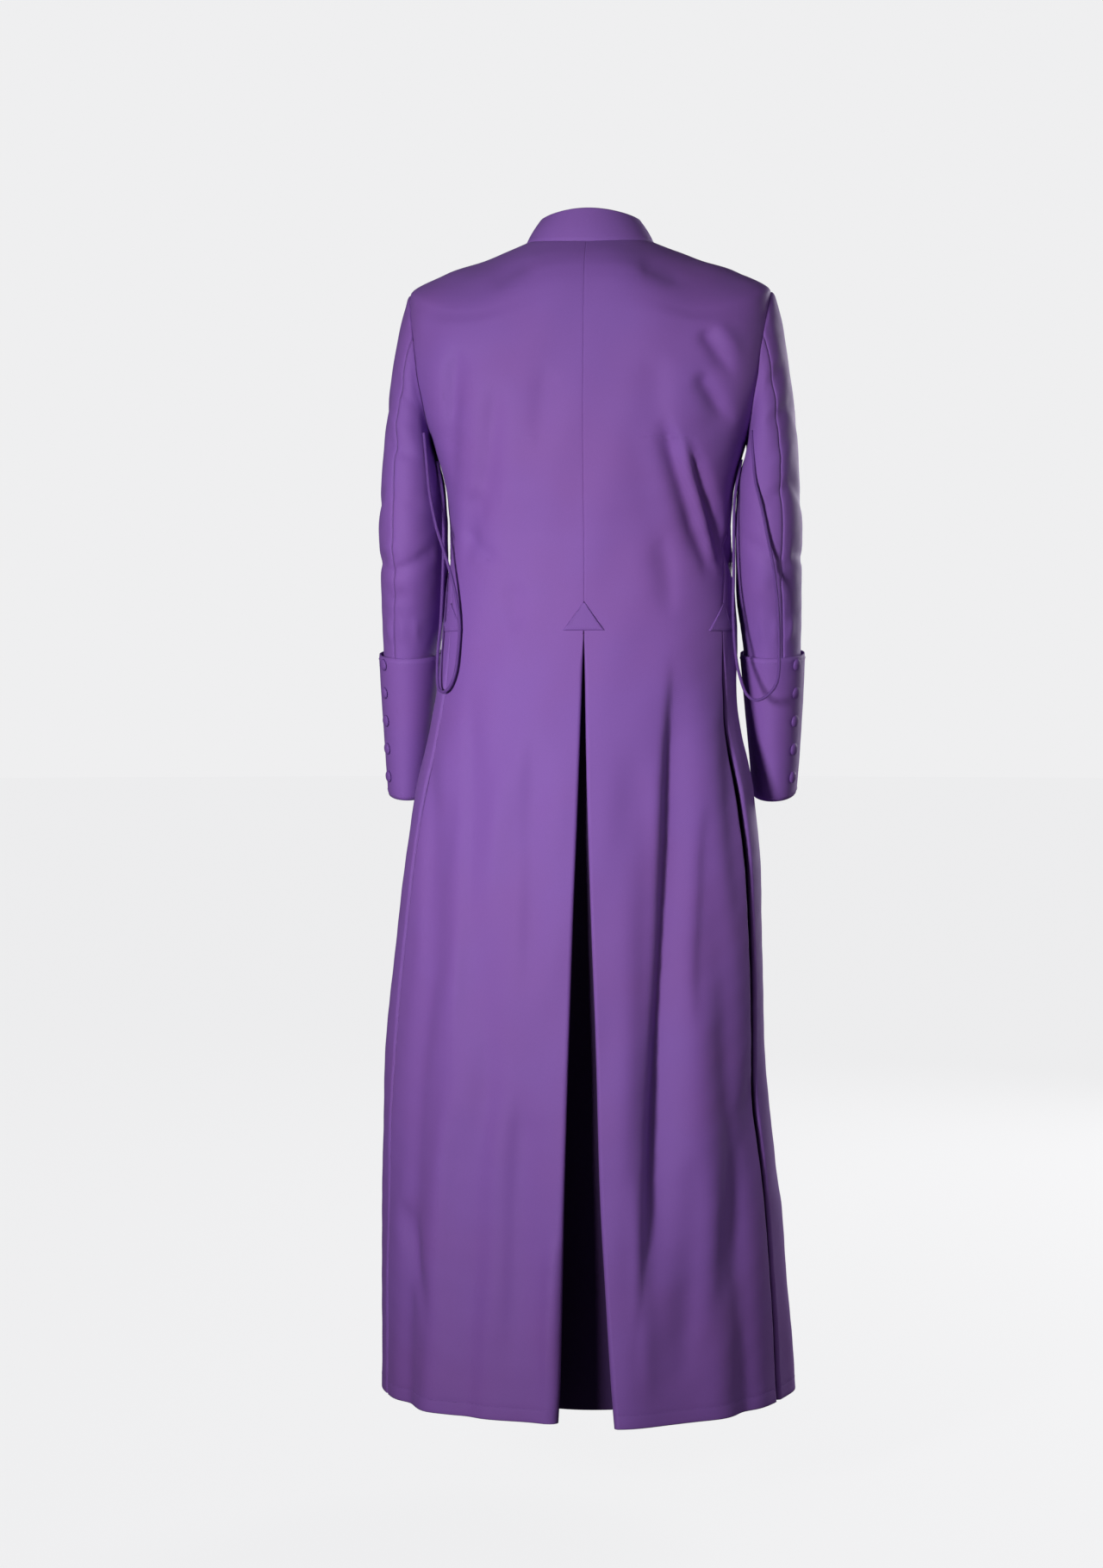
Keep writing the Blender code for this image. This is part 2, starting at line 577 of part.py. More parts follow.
def armhole_ring(side):
    """The armhole's edge on the body, in the order of the sleeve's columns."""
    ring = []
    for column in range(SLEEVE_SIDES):
        front = column > ARMHOLE_STEPS
        row = TIP_ROW + (SLEEVE_SIDES - column if front else column)
        ring.append(cloth_point(LEVELS[row], side * outer_angle(row, front)))
    return ring


def sleeve_rings(side):
    """All rings of a sleeve. The cap leaves the armhole outward and arrives along the arm."""
    start = armhole_ring(side)
    below = [sleeve_ring(dict(zip(SLEEVE_COLUMNS, row)), side) for row in SLEEVE_SECTIONS]
    rings = [start]
    for step in range(1, CAP_STEPS):
        t = step / CAP_STEPS
        ring = []
        for column in range(SLEEVE_SIDES):
            turn = 2.0 * math.pi * column / SLEEVE_SIDES
            a, b = start[column], below[0][column]
            outward = CAP_OUTWARD[0] + CAP_OUTWARD[1] * math.cos(turn)
            drop = CAP_DROP[0] + CAP_DROP[1] * math.cos(turn) ** 2
            leave = Vector((side * outward, CAP_BACKWARD * math.sin(turn), -drop)) * CAP_LIFT
            arrive = (below[0][column] - below[1][column]).normalized() * ((b - a).length * CAP_ARRIVAL)
            ring.append(a * (1 - t) ** 3 + (a + leave) * 3 * t * (1 - t) ** 2
                        + (b + arrive) * 3 * t * t * (1 - t) + b * t ** 3)
        rings.append(ring)
    return rings + below


def ring_normals(rings, side):
    """The outward direction at every point of a row of rings."""
    normals = []
    for row, ring in enumerate(rings):
        line = []
        for column in range(len(ring)):
            lower = rings[min(row + 1, len(rings) - 1)][column]
            upper = rings[max(row - 1, 0)][column]
            around = ring[(column + 1) % len(ring)] - ring[column - 1]
            line.append((lower - upper).cross(around).normalized() * side)
        normals.append(line)
    return normals


def sleeve_half(name, rings, normals, columns):
    wall = Wall(name)
    for row, ring in enumerate(rings):
        for place, column in enumerate(columns):
            wall.add(row, place, ring[column], ring[column] - normals[row][column] * CLOTH)
    return wall


def cuff_rings(rings, normals):
    """The cuff's outer points: the sleeve's own, moved out, and standing a little proud at the top."""
    first = len(rings) - len(SLEEVE_SECTIONS) + CUFF_TOP_ROW
    last = len(rings) - 1
    result = []
    for row in range(first, last + 1):
        flare = CUFF_FLARE * (last - row) / (last - first)
        out = CLOTH + SEAM_GAP + flare
        result.append([point + normals[row][column] * out for column, point in enumerate(rings[row])])
    return result


def cuff(name, rings, side):
    normals = ring_normals(rings, side)
    wall = Wall(name, closed_round=True)
    for row, ring in enumerate(rings):
        for column, point in enumerate(ring):
            wall.add(row, column, point, point - normals[row][column] * CLOTH)
    return wall


def neck_angles(walls, over):
    """The angles of the panels' points round the neck, from one end of the collar to the other."""
    side_y = body_section(NECK_LEVEL)["side_y"]
    depth = side_y - body_section(NECK_LEVEL)["front_y"]
    end = math.pi - COLLAR_HALF_SLIT / depth
    points = [over.outer[0, -3]]
    for wall in walls:
        points += [point for (row, column), point in wall.outer.items() if row == 0 and column >= 0]
    angles = {math.atan2(point.x, point.y - side_y) for point in points}
    inside = sorted(angle for angle in angles if abs(angle) < end - 2.0 * ANGLE_FEEL)
    joined = [angle for i, angle in enumerate(inside) if i == 0 or angle - inside[i - 1] > ANGLE_FEEL]
    return [-end] + joined + [end]


def collar_directions(angle):
    """Outward from the collar and from the body at a place on the neck seam."""
    base = body_section(NECK_LEVEL)
    first = {key: base[key] + (COLLAR_TOP[key] - base[key]) / COLLAR_STEPS for key in base}
    first_level = NECK_LEVEL + (COLLAR_TOP["level"] - NECK_LEVEL) / COLLAR_STEPS
    up = section_point(first, first_level, angle) - section_point(base, NECK_LEVEL, angle)
    after = section_point(base, NECK_LEVEL, angle + ANGLE_FEEL)
    before = section_point(base, NECK_LEVEL, angle - ANGLE_FEEL)
    return up.cross(after - before).normalized(), body_normal(NECK_LEVEL, angle)


def neck_mitre(angle):
    """How far, and which way, the inner edge lies from the outer one along the neck seam."""
    rise, seat = collar_directions(angle)
    normal = (rise + seat).normalized()
    return normal * (CLOTH / max(MITRE_LIMIT, normal.dot(seat)))


def collar(name, angles):
    """A stand collar, from the neck seam up to its free edge, slit at centre front."""
    base = body_section(NECK_LEVEL)
    wall = Wall(name)
    rows = []
    for row in range(COLLAR_STEPS + 1):
        t = row / COLLAR_STEPS
        section = {key: base[key] + (COLLAR_TOP[key] - base[key]) * t for key in base}
        level = NECK_LEVEL + (COLLAR_TOP["level"] - NECK_LEVEL) * t
        rows.append([section_point(section, level, angle) for angle in angles])
    lift = Vector((0.0, 0.0, SEAM_GAP))
    for row, line in enumerate(rows):
        for column, point in enumerate(line):
            inward = neck_mitre(angles[column])
            if row > 0:
                up = rows[min(row + 1, COLLAR_STEPS)][column] - rows[row - 1][column]
                around = line[min(column + 1, len(line) - 1)] - line[max(column - 1, 0)]
                inward = up.cross(around).normalized() * CLOTH
            wall.add(row, column, point + lift, point + lift - inward)
    return wall


def mitre_neck(wall):
    """The neck edge of a body panel, cut to the same mitre as the collar's base."""
    side_y = body_section(NECK_LEVEL)["side_y"]
    for place in [place for place in wall.outer if place[0] == 0]:
        point = wall.outer[place]
        wall.inner[place] = point - neck_mitre(math.atan2(point.x, point.y - side_y))


def surface_tree(walls):
    """The outer faces of walls, as a surface that small pieces are laid on."""
    points, faces = [], []
    for wall in walls:
        for corners in wall.cells():
            faces.append([len(points) + i for i in range(4)])
            points += [wall.outer[corner] for corner in corners]
    return BVHTree.FromPolygons(points, faces)


def height_over(tree, point, normal, radius):
    """How far the faces under a small disc stand out beyond its middle along the normal."""
    sideways = normal.orthogonal().normalized()
    heights = []
    for size, turn in [(0.0, 0.0)] + [(radius, 0.25 * math.pi * k) for k in range(8)]:
        spot = point + sideways * (size * math.cos(turn))
        spot += normal.cross(sideways) * (size * math.sin(turn))
        hit = tree.ray_cast(spot + normal * REACH_ABOVE, -normal, 2.0 * REACH_ABOVE)[0]
        if hit:
            heights.append((hit - spot).dot(normal))
    return max(heights)


def button(name, tree, point, normal):
    """A cloth-covered button: a low round dome whose flat back rests on the cloth."""
    seat = height_over(tree, point, normal, BUTTON_RADIUS)
    mesh = bmesh.new()
    bmesh.ops.create_cone(mesh, cap_ends=True, segments=BUTTON_SIDES, radius1=BUTTON_RADIUS,
                          radius2=BUTTON_RADIUS, depth=BUTTON_HEIGHT)
    rim = [edge for edge in mesh.edges if all(vert.co.z > 0.0 for vert in edge.verts)]
    bmesh.ops.bevel(mesh, geom=rim, offset=BUTTON_BEVEL, segments=1, affect="EDGES")
    item = add_object(name, mesh, PURPLE_DEEP, CLOTH_ROUGHNESS)
    item.rotation_mode = "QUATERNION"
    item.rotation_quaternion = normal.to_track_quat("Z", "Y")
    item.location = point + normal * (seat + SEAM_GAP + 0.5 * BUTTON_HEIGHT)
    return item


def front_level(height):
    """The level at which centre front is at a height."""
    upper, lower = NECK_LEVEL, HEM_LEVEL
    while upper - lower > 0.01 * SEAM_GAP:
        middle = 0.5 * (upper + lower)
        if body_point(middle, math.pi).z > height:
            upper = middle
        else:
            lower = middle
    return upper


def triangle_tack(name, tree, angle):
    """A triangle of the same cloth over a pleat head, point upward."""
    mesh = bmesh.new()
    layers = []
    for depth in (LAID_ON_GAP + TACK_CLOTH, LAID_ON_GAP):
        layer = {}
        for row in range(TACK_STEPS + 1):
            level = TACK_APEX_LEVEL - TACK_HEIGHT * row / TACK_STEPS
            for column in range(row + 1):
                across = 2.0 * TACK_HALF_WIDTH * (column - 0.5 * row) / TACK_STEPS
                point = cloth_point(level, angle, across)
                out = body_normal(level, math.atan2(point.x, point.y))
                height = height_over(tree, point, out, TACK_FEEL) + depth
                layer[row, column] = mesh.verts.new(point + out * height)
        layers.append(layer)
    top, bottom = layers
    for row in range(TACK_STEPS):
        for column in range(row + 1):
            corners = [(row, column), (row + 1, column), (row + 1, column + 1)]
            mesh.faces.new([top[corner] for corner in corners])
            mesh.faces.new([bottom[corner] for corner in reversed(corners)])
            if column < row:
                corners = [(row, column), (row + 1, column + 1), (row, column + 1)]
                mesh.faces.new([top[corner] for corner in corners])
                mesh.faces.new([bottom[corner] for corner in reversed(corners)])
    rim = [(row, 0) for row in range(TACK_STEPS + 1)]
    rim += [(TACK_STEPS, column) for column in range(1, TACK_STEPS + 1)]
    rim += [(row, row) for row in range(TACK_STEPS - 1, 0, -1)]
    for i, place in enumerate(rim):
        after = rim[(i + 1) % len(rim)]
        mesh.faces.new([top[after], top[place], bottom[place], bottom[after]])
    bmesh.ops.recalc_face_normals(mesh, faces=mesh.faces)
    return add_object(name, mesh, PURPLE, CLOTH_ROUGHNESS)


def smooth_route(route, spacing):
    """Evenly spaced points along a smooth curve through a route's own points."""
    points = [Vector(place) for place in route]
    fine = []
    for i in range(len(points) - 1):
        before = points[max(i - 1, 0)]
        a, b = points[i], points[i + 1]
        after = points[min(i + 2, len(points) - 1)]
        for k in range(ROUTE_STEPS):
            t = k / ROUTE_STEPS
            fine.append(0.5 * ((2 * a) + (b - before) * t + (2 * before - 5 * a + 4 * b - after) * t * t
                               + (3 * a - before - 3 * b + after) * t ** 3))
    fine.append(points[-1])
    length = sum((fine[i + 1] - fine[i]).length for i in range(len(fine) - 1))
    count = round(length / spacing)
    result, run, wanted = [fine[0]], 0.0, length / count
    for i in range(len(fine) - 1):
        step = (fine[i + 1] - fine[i]).length
        while run + step >= wanted * len(result) and len(result) < count:
            result.append(fine[i].lerp(fine[i + 1], (wanted * len(result) - run) / step))
        run += step
    return result + [fine[-1]]


def cincture_loop(name, route):
    """A hanging loop of narrow round cord."""
    points = smooth_route(route, CORD_POINT_SPACING)
    curve = bpy.data.curves.new(name, "CURVE")
    curve.dimensions = "3D"
    curve.bevel_depth = CORD_RADIUS
    curve.bevel_resolution = 2
    curve.use_fill_caps = True
    spline = curve.splines.new("POLY")
    spline.points.add(len(points) - 1)
    for knot, point in zip(spline.points, points):
        knot.co = (*point, 1.0)
    curve.materials.append(make_material(name, PURPLE_DEEP, CORD_ROUGHNESS))
    item = bpy.data.objects.new(name, curve)
    COLLECTION.objects.link(item)
    return item


# Start from an empty scene
for leftover in list(bpy.data.objects):
    bpy.data.objects.remove(leftover)
COLLECTION = bpy.data.collections.new("cassock")
bpy.context.scene.collection.children.link(COLLECTION)

SIDES = (("left", 1), ("right", -1))

# Body panels and their seams
backs = {word: back_panel("back_" + word, side) for word, side in SIDES}
fronts = {word: front_panel("front_" + word, side) for word, side in SIDES}

centre_places = [(row, 0) for row in range(HEAD_ROW)]
centre_normals = [body_normal(LEVELS[row], 0.0) for row in range(HEAD_ROW)]
centre_line = tangents_along([backs["left"].outer[place] for place in centre_places])
seam(backs["left"], centre_places, backs["right"], centre_places, centre_normals, centre_normals,
     centre_line, -1)

for word, side in SIDES:
    for rows in (range(0, TIP_ROW + 1), range(PIT_ROW, HEAD_ROW)):
        places = [(row, PANEL_COLUMNS) for row in rows]
        normals = [body_normal(LEVELS[row], side * outer_angle(row, False)) for row in rows]
        line = tangents_along([backs[word].outer[place] for place in places])
        seam(backs[word], places, fronts[word], places, normals, normals, line, side)

# Sleeves, each in two halves with a back and a front seam, set into the armholes
sleeves = []
for word, side in SIDES:
    rings = sleeve_rings(side)
    normals = ring_normals(rings, side)
    upper_columns = list(range(FRONT_SEAM_COLUMN, SLEEVE_SIDES)) + list(range(0, BACK_SEAM_COLUMN + 1))
    under_columns = list(range(BACK_SEAM_COLUMN, FRONT_SEAM_COLUMN + 1))
    upper = sleeve_half("sleeve_upper_" + word, rings, normals, upper_columns)
    under = sleeve_half("sleeve_under_" + word, rings, normals, under_columns)
    for column, toward in ((BACK_SEAM_COLUMN, -side), (FRONT_SEAM_COLUMN, side)):
        rows = range(len(rings))
        line = [normals[row][column] for row in rows]
        seam(upper, [(row, upper_columns.index(column)) for row in rows],
             under, [(row, under_columns.index(column)) for row in rows], line, line,
             tangents_along([rings[row][column] for row in rows]), toward)
    armhole = tangents_along(rings[0], ring=True)
    for wall, columns in ((upper, upper_columns), (under, under_columns)):
        for panel, front in ((backs[word], False), (fronts[word], True)):
            reach = list(range(ARMHOLE_STEPS, SLEEVE_SIDES)) + [0] if front else range(ARMHOLE_STEPS + 1)
            shared = [column for column in columns if column in reach]
            rows = [TIP_ROW + (SLEEVE_SIDES - column if column > ARMHOLE_STEPS else column)
                    for column in shared]
            seam(panel, [(row, PANEL_COLUMNS) for row in rows],
                 wall, [(0, columns.index(column)) for column in shared],
                 [body_normal(LEVELS[row], side * outer_angle(row, front)) for row in rows],
                 [normals[0][column] for column in shared],
                 [armhole[column] for column in shared], side)
    sleeves += [upper, under]

    # Cuff turned back over the sleeve's end, with its row of buttons
    bands = cuff_rings(rings, normals)
    band = cuff("cuff_" + word, bands, side)
    band.build(PURPLE)
    band_tree = surface_tree([band])
    band_normals = ring_normals(bands, side)
    line = [ring[CUFF_BUTTON_COLUMN] for ring in bands]
    for number in range(CUFF_BUTTON_COUNT):
        height = CUFF_BUTTON_TOP - number * CUFF_BUTTON_SPACING
        row = next(k for k in range(len(line) - 1) if line[k + 1].z < height)
        t = (line[row].z - height) / (line[row].z - line[row + 1].z)
        point = line[row].lerp(line[row + 1], t)
        out = band_normals[row][CUFF_BUTTON_COLUMN].lerp(band_normals[row + 1][CUFF_BUTTON_COLUMN], t)
        button("cuff_button_%s_%d" % (word, number + 1), band_tree, point, out.normalized())

# Collar, and the neck edges that it stands on
panels = list(backs.values()) + list(fronts.values())
collar("collar", neck_angles(panels, fronts["left"])).build(PURPLE)
for wall in panels:
    mitre_neck(wall)
for wall in panels + sleeves:
    wall.build(PURPLE)

# Pleat underlays
pleat_underlay("back_pleat", BACK_PLEAT, 0.0, 1).build(PURPLE_DEEP)
for word, side in SIDES:
    pleat_underlay("side_pleat_" + word, SIDE_PLEAT, SIDE_SEAM_ANGLE, side).build(PURPLE_DEEP)

# Triangles over the pleat heads
body_tree = surface_tree(panels)
triangle_tack("tack_back", body_tree, 0.0)
triangle_tack("tack_left", body_tree, SIDE_SEAM_ANGLE)
triangle_tack("tack_right", body_tree, -SIDE_SEAM_ANGLE)

# Front buttons down the left panel's centre line
for number in range(FRONT_BUTTON_COUNT):
    level = front_level(FRONT_BUTTON_TOP - number * FRONT_BUTTON_SPACING)
    button("front_button_%02d" % (number + 1), body_tree, cloth_point(level, math.pi),
           body_normal(level, math.pi))

# Cincture loops
cincture_loop("cincture_loop_left", LOOP_LEFT)
cincture_loop("cincture_loop_right", LOOP_RIGHT)
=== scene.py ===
import math

import bmesh
import bpy
import numpy
from mathutils import Matrix, Vector


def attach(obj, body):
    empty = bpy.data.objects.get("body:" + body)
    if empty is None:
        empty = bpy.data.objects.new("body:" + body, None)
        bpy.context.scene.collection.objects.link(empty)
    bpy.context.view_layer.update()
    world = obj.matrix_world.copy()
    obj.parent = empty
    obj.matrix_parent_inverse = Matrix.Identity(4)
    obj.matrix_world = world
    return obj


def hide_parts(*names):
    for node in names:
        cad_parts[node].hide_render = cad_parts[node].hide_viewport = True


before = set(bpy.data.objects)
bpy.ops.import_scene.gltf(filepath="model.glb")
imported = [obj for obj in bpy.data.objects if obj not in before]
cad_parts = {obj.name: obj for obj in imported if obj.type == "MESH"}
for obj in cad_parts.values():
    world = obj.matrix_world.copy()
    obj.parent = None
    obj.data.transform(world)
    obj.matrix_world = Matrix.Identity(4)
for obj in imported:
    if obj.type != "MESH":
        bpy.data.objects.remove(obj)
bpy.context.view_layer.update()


# Studio: the camera stands behind the garment at chest height, a little to the garment's right. The main
# lamp stands left of it at waist height, weaker ones fill the other sides, and the floor is plain and pale.
CAMERA_AZIMUTH = math.radians(184)
CAMERA_DISTANCE = 3.60
CAMERA_HEIGHT = -0.530
CAMERA_AIM = (0.0467, 0.0, -0.6446)
CAMERA_LENS = 68.3
CAMERA_SENSOR = 36.0
LAMPS = (  # name, place, height of its aim, size, power, spread in degrees
    ("key_light", (1.10, 2.48, -0.40), -0.48, 0.5, 12.4, 76),
    ("fill_light", (-2.4, 2.9, -0.30), -0.70, 2.0, 9.0, 180),
    ("front_light", (-1.8, -3.2, 0.10), -0.70, 1.4, 78.0, 180),
    ("side_light", (-3.4, -0.6, 0.00), -0.70, 1.6, 12.0, 180),
)
ROOM_LIGHT = (0.88, 0.87, 0.92, 1.0)
ROOM_STRENGTH = 0.12
BACKDROP_SEEN = (0.863, 0.863, 0.871, 1.0)
FLOOR_HEIGHT = -1.510
FLOOR_RADIUS = 30.0
FLOOR_GREY = (0.06, 0.06, 0.062, 1.0)
FLOOR_SEEN = (0.835, 0.835, 0.843, 1.0)


def put_in_scene(name, data, place=(0.0, 0.0, 0.0), aim=None):
    """An object linked into the scene, and turned towards its aim if it has one."""
    item = bpy.data.objects.new(name, data)
    item.location = place
    if aim is not None:
        item.rotation_euler = (Vector(aim) - Vector(place)).to_track_quat("-Z", "Y").to_euler()
    bpy.context.scene.collection.objects.link(item)
    return item


def feed(tree, node, *fed):
    """Gives a node's inputs, by name or place, their sockets or plain values."""
    for place, value in fed:
        if isinstance(value, bpy.types.NodeSocket):
            tree.links.new(value, node.inputs[place])
        else:
            node.inputs[place].default_value = value


def add_node(tree, kind, *fed, **settings):
    node = tree.nodes.new("ShaderNode" + kind)
    for name, value in settings.items():
        setattr(node, name, value)
    feed(tree, node, *fed)
    return node


def seen_brighter(tree, shader, glow):
    """Lets the camera see a plain even glow where the light itself comes from the given shader."""
    rays = add_node(tree, "LightPath")
    return add_node(tree, "MixShader", (0, rays.outputs["Is Camera Ray"]), (1, shader.outputs[0]),
                    (2, glow.outputs[0])).outputs[0]


camera_data = bpy.data.cameras.new("camera")
camera_data.sensor_fit = "VERTICAL"
camera_data.sensor_height = CAMERA_SENSOR
camera_data.lens = CAMERA_LENS
camera_place = (CAMERA_DISTANCE * math.sin(CAMERA_AZIMUTH), -CAMERA_DISTANCE * math.cos(CAMERA_AZIMUTH),
                CAMERA_HEIGHT)
bpy.context.scene.camera = put_in_scene("camera", camera_data, camera_place, CAMERA_AIM)

for name, place, aim_height, size, power, spread in LAMPS:
    lamp = bpy.data.lights.new(name, "AREA")
    lamp.shape = "DISK"
    lamp.spread = math.radians(spread)
    lamp.size = size
    lamp.energy = power
    put_in_scene(name, lamp, place, (0.0, 0.0, aim_height))

world = bpy.data.worlds.new("studio")
world.use_nodes = True
tree = world.node_tree
dim = tree.nodes["Background"]
feed(tree, dim, ("Color", ROOM_LIGHT), ("Strength", ROOM_STRENGTH))
pale = add_node(tree, "Background", ("Color", BACKDROP_SEEN))
feed(tree, tree.nodes["World Output"], ("Surface", seen_brighter(tree, dim, pale)))
bpy.context.scene.world = world
bpy.context.scene.view_settings.view_transform = "Standard"

floor_mesh = bmesh.new()
bmesh.ops.create_circle(floor_mesh, cap_ends=True, segments=96, radius=FLOOR_RADIUS,
                        matrix=Matrix.Translation((0.0, 0.0, FLOOR_HEIGHT)))
floor_data = bpy.data.meshes.new("floor")
floor_mesh.to_mesh(floor_data)
floor_mesh.free()
floor = put_in_scene("floor", floor_data)
floor_paint = bpy.data.materials.new("floor_paint")
floor_paint.use_nodes = True
tree = floor_paint.node_tree
matt = tree.nodes["Principled BSDF"]
feed(tree, matt, ("Base Color", FLOOR_GREY), ("Roughness", 0.9), ("Specular IOR Level", 0.1))
glow = add_node(tree, "Emission", ("Color", FLOOR_SEEN))
both = add_node(tree, "AddShader", (0, matt.outputs[0]), (1, glow.outputs[0]))
feed(tree, tree.nodes["Material Output"], ("Surface", seen_brighter(tree, matt, both)))
floor_data.materials.append(floor_paint)


# Cincture loops: narrow round cord of the garment's own cloth, sewn behind each armhole. Each hangs in
# one slack loop beside the waist and goes back up to the underarm. Matt, a shade darker than the body.
MM = 0.001
CORD_DIAMETER = 0.0038
CORD_SPACING = 0.0045
CORD_PURPLE = (0.120, 0.045, 0.235)
CORD_PATCH = (0.105, 0.038, 0.200)
# Points along each loop, in millimetres, from its sewn end
LOOP_ROUTES = {
    "cincture_loop_left": (
        (195.2, 52.5, -224), (191.5, 55.4, -260), (188, 56, -296), (180, 59, -335), (171, 62, -363),
        (158.5, 65, -405), (151, 69, -447), (151.5, 72, -478), (155.5, 73.5, -510), (164, 69, -529),
        (173.5, 59, -533), (179.5, 50, -522), (180, 43, -486), (177, 39, -450), (175, 35, -400),
        (174, 33, -350), (175.2, 30, -300), (182.7, 24.5, -256)),
    "cincture_loop_right": (
        (-195.2, 52.5, -224), (-197.5, 59.8, -257.7), (-200, 64.2, -284.5), (-207, 68.8, -313),
        (-215, 70, -352), (-221.5, 67, -387), (-226.5, 63, -430), (-228.5, 61, -480), (-227, 59, -517),
        (-217, 57, -535), (-201.5, 54, -543), (-189.5, 50, -535), (-182, 45, -515), (-177.5, 40, -495),
        (-174.5, 37, -465), (-173.5, 36, -430), (-174, 35, -390), (-174, 33, -345), (-175.2, 30, -300),
        (-182.7, 24.5, -256)),
}


def new_group(name, inputs, outputs):
    """An empty node group with its sockets, for an effect that several materials share."""
    group = bpy.data.node_groups.new(name, "ShaderNodeTree")
    for label, kind, value in inputs:
        socket = group.interface.new_socket(label, in_out="INPUT", socket_type="NodeSocket" + kind)
        if value is not None:
            socket.default_value = value
    for label, kind in outputs:
        group.interface.new_socket(label, in_out="OUTPUT", socket_type="NodeSocket" + kind)
    return group, group.nodes.new("NodeGroupInput").outputs, group.nodes.new("NodeGroupOutput")


def worked_out(tree, operation, *values):
    """What a math node makes of sockets and plain numbers."""
    return add_node(tree, "Math", *enumerate(values), operation=operation).outputs[0]


def twill_group():
    """A fine diagonal twill: ribs one way, and shallower breaks across them."""
    group, taken, given = new_group(
        "fine_twill",
        [("Vector", "Vector", None), ("Rib spacing", "Float", 0.0009), ("Break spacing", "Float", 0.0006)],
        [("Height", "Float")])

    def ribs(along, spacing):
        turns = worked_out(group, "DIVIDE", along, taken[spacing])
        return worked_out(group, "SINE", worked_out(group, "MULTIPLY", turns, 2.0 * math.pi))

    axes = add_node(group, "SeparateXYZ", (0, taken["Vector"])).outputs
    slant = worked_out(group, "MULTIPLY_ADD", axes["Y"], 0.53, axes["X"])
    broken = ribs(axes["Y"], "Break spacing")
    both = worked_out(group, "MULTIPLY_ADD", broken, 0.35, ribs(slant, "Rib spacing"))
    feed(group, given, ("Height", worked_out(group, "MULTIPLY_ADD", both, 0.37, 0.5)))
    return group


def dye_and_weave_shade_group():
    """Dyed cloth is never quite even: broad soft patches, and a fine fleck of darker fibres. The colour is
    also painted darker in the twill's low ribs, as painted shade.
    """
    group, taken, given = new_group(
        "uneven_dye_and_weave_shade",
        [("Vector", "Vector", None), ("Cloth", "Color", (0.2, 0.09, 0.37, 1.0)),
         ("Patch", "Color", (0.22, 0.08, 0.30, 1.0)), ("Patch size", "Float", 5.0), ("Shade", "Float", 0.5)],
        [("Colour", "Color"), ("Roughness", "Float")])
    patches = add_node(group, "TexNoise", ("Vector", taken["Vector"]), ("Scale", taken["Patch size"]),
                       ("Detail", 3.0), ("Roughness", 0.55))
    spread = add_node(group, "MapRange", ("Value", patches.outputs["Fac"]), ("From Min", 0.42),
                      ("From Max", 0.72), ("To Max", 0.55))
    tint = add_node(group, "Mix", (0, spread.outputs["Result"]), (6, taken["Cloth"]), (7, taken["Patch"]),
                    data_type="RGBA")
    fleck = add_node(group, "TexNoise", ("Vector", taken["Vector"]), ("Scale", 900.0), ("Detail", 2.0))
    # Painted shade: the colour darkens where the twill's height is low, in the valleys between its ribs.
    weave = worked_out(group, "MULTIPLY_ADD", taken["Shade"], 0.10, 0.87)
    light = worked_out(group, "MULTIPLY_ADD", fleck.outputs["Fac"], 0.16, weave)
    shaded = add_node(group, "VectorMath", (0, tint.outputs[2]), ("Scale", light), operation="SCALE")
    feed(group, given, ("Colour", shaded.outputs["Vector"]),
         ("Roughness", worked_out(group, "MULTIPLY_ADD", fleck.outputs["Fac"], 0.16, 0.62)))
    return group


FINE_TWILL = twill_group()
DYE_AND_WEAVE_SHADE = dye_and_weave_shade_group()
BREAK_SHARE = 0.7
RELIEF_STRENGTH = 0.25
RELIEF_DEPTH = 0.0003
SHEEN_TINT = (0.62, 0.45, 0.92, 1.0)


def cloth_material(name, cloth, patch, rib=0.0009, sheen=0.08, on_surface=True):
    """Purple wool-blend cloth: twill that follows the piece's own UV map, uneven dye with painted shade in
    the twill's low ribs, and a soft sheen.
    """
    material = bpy.data.materials.new(name)
    material.use_nodes = True
    tree = material.node_tree
    places = add_node(tree, "TexCoord").outputs
    weave = places["UV" if on_surface else "Object"]
    twill = add_node(tree, "Group", ("Vector", weave), ("Rib spacing", rib),
                     ("Break spacing", BREAK_SHARE * rib), node_tree=FINE_TWILL).outputs
    dye_and_shade = add_node(tree, "Group", ("Vector", places["Object"]), ("Cloth", (*cloth, 1.0)),
                   ("Patch", (*patch, 1.0)), ("Shade", twill["Height"]), node_tree=DYE_AND_WEAVE_SHADE).outputs
    relief = add_node(tree, "Bump", ("Strength", RELIEF_STRENGTH), ("Distance", RELIEF_DEPTH),
                      ("Height", twill["Height"]))
    feed(tree, tree.nodes["Principled BSDF"], ("Base Color", dye_and_shade["Colour"]), ("Roughness", dye_and_shade["Roughness"]),
         ("Normal", relief.outputs["Normal"]), ("Specular IOR Level", 0.28), ("Sheen Weight", sheen),
         ("Sheen Roughness", 0.45), ("Sheen Tint", SHEEN_TINT))
    return material


def smooth_route(route, spacing):
    """Evenly spaced points along a smooth curve through a route's own points."""
    points = [Vector(place) for place in route]
    fine = []
    for i in range(len(points) - 1):
        before, a, b = points[max(i - 1, 0)], points[i], points[i + 1]
        after = points[min(i + 2, len(points) - 1)]
        for k in range(24):
            t = k / 24
            fine.append(0.5 * ((2 * a) + (b - before) * t + (2 * before - 5 * a + 4 * b - after) * t * t
                               + (3 * a - before - 3 * b + after) * t ** 3))
    fine.append(points[-1])
    steps = [(b - a).length for a, b in zip(fine, fine[1:])]
    count = round(sum(steps) / spacing)
    wanted = sum(steps) / count
    result, run = [fine[0]], 0.0
    for i, step in enumerate(steps):
        while run + step >= wanted * len(result) and len(result) < count:
            result.append(fine[i].lerp(fine[i + 1], (wanted * len(result) - run) / step))
        run += step
    return result + [fine[-1]]


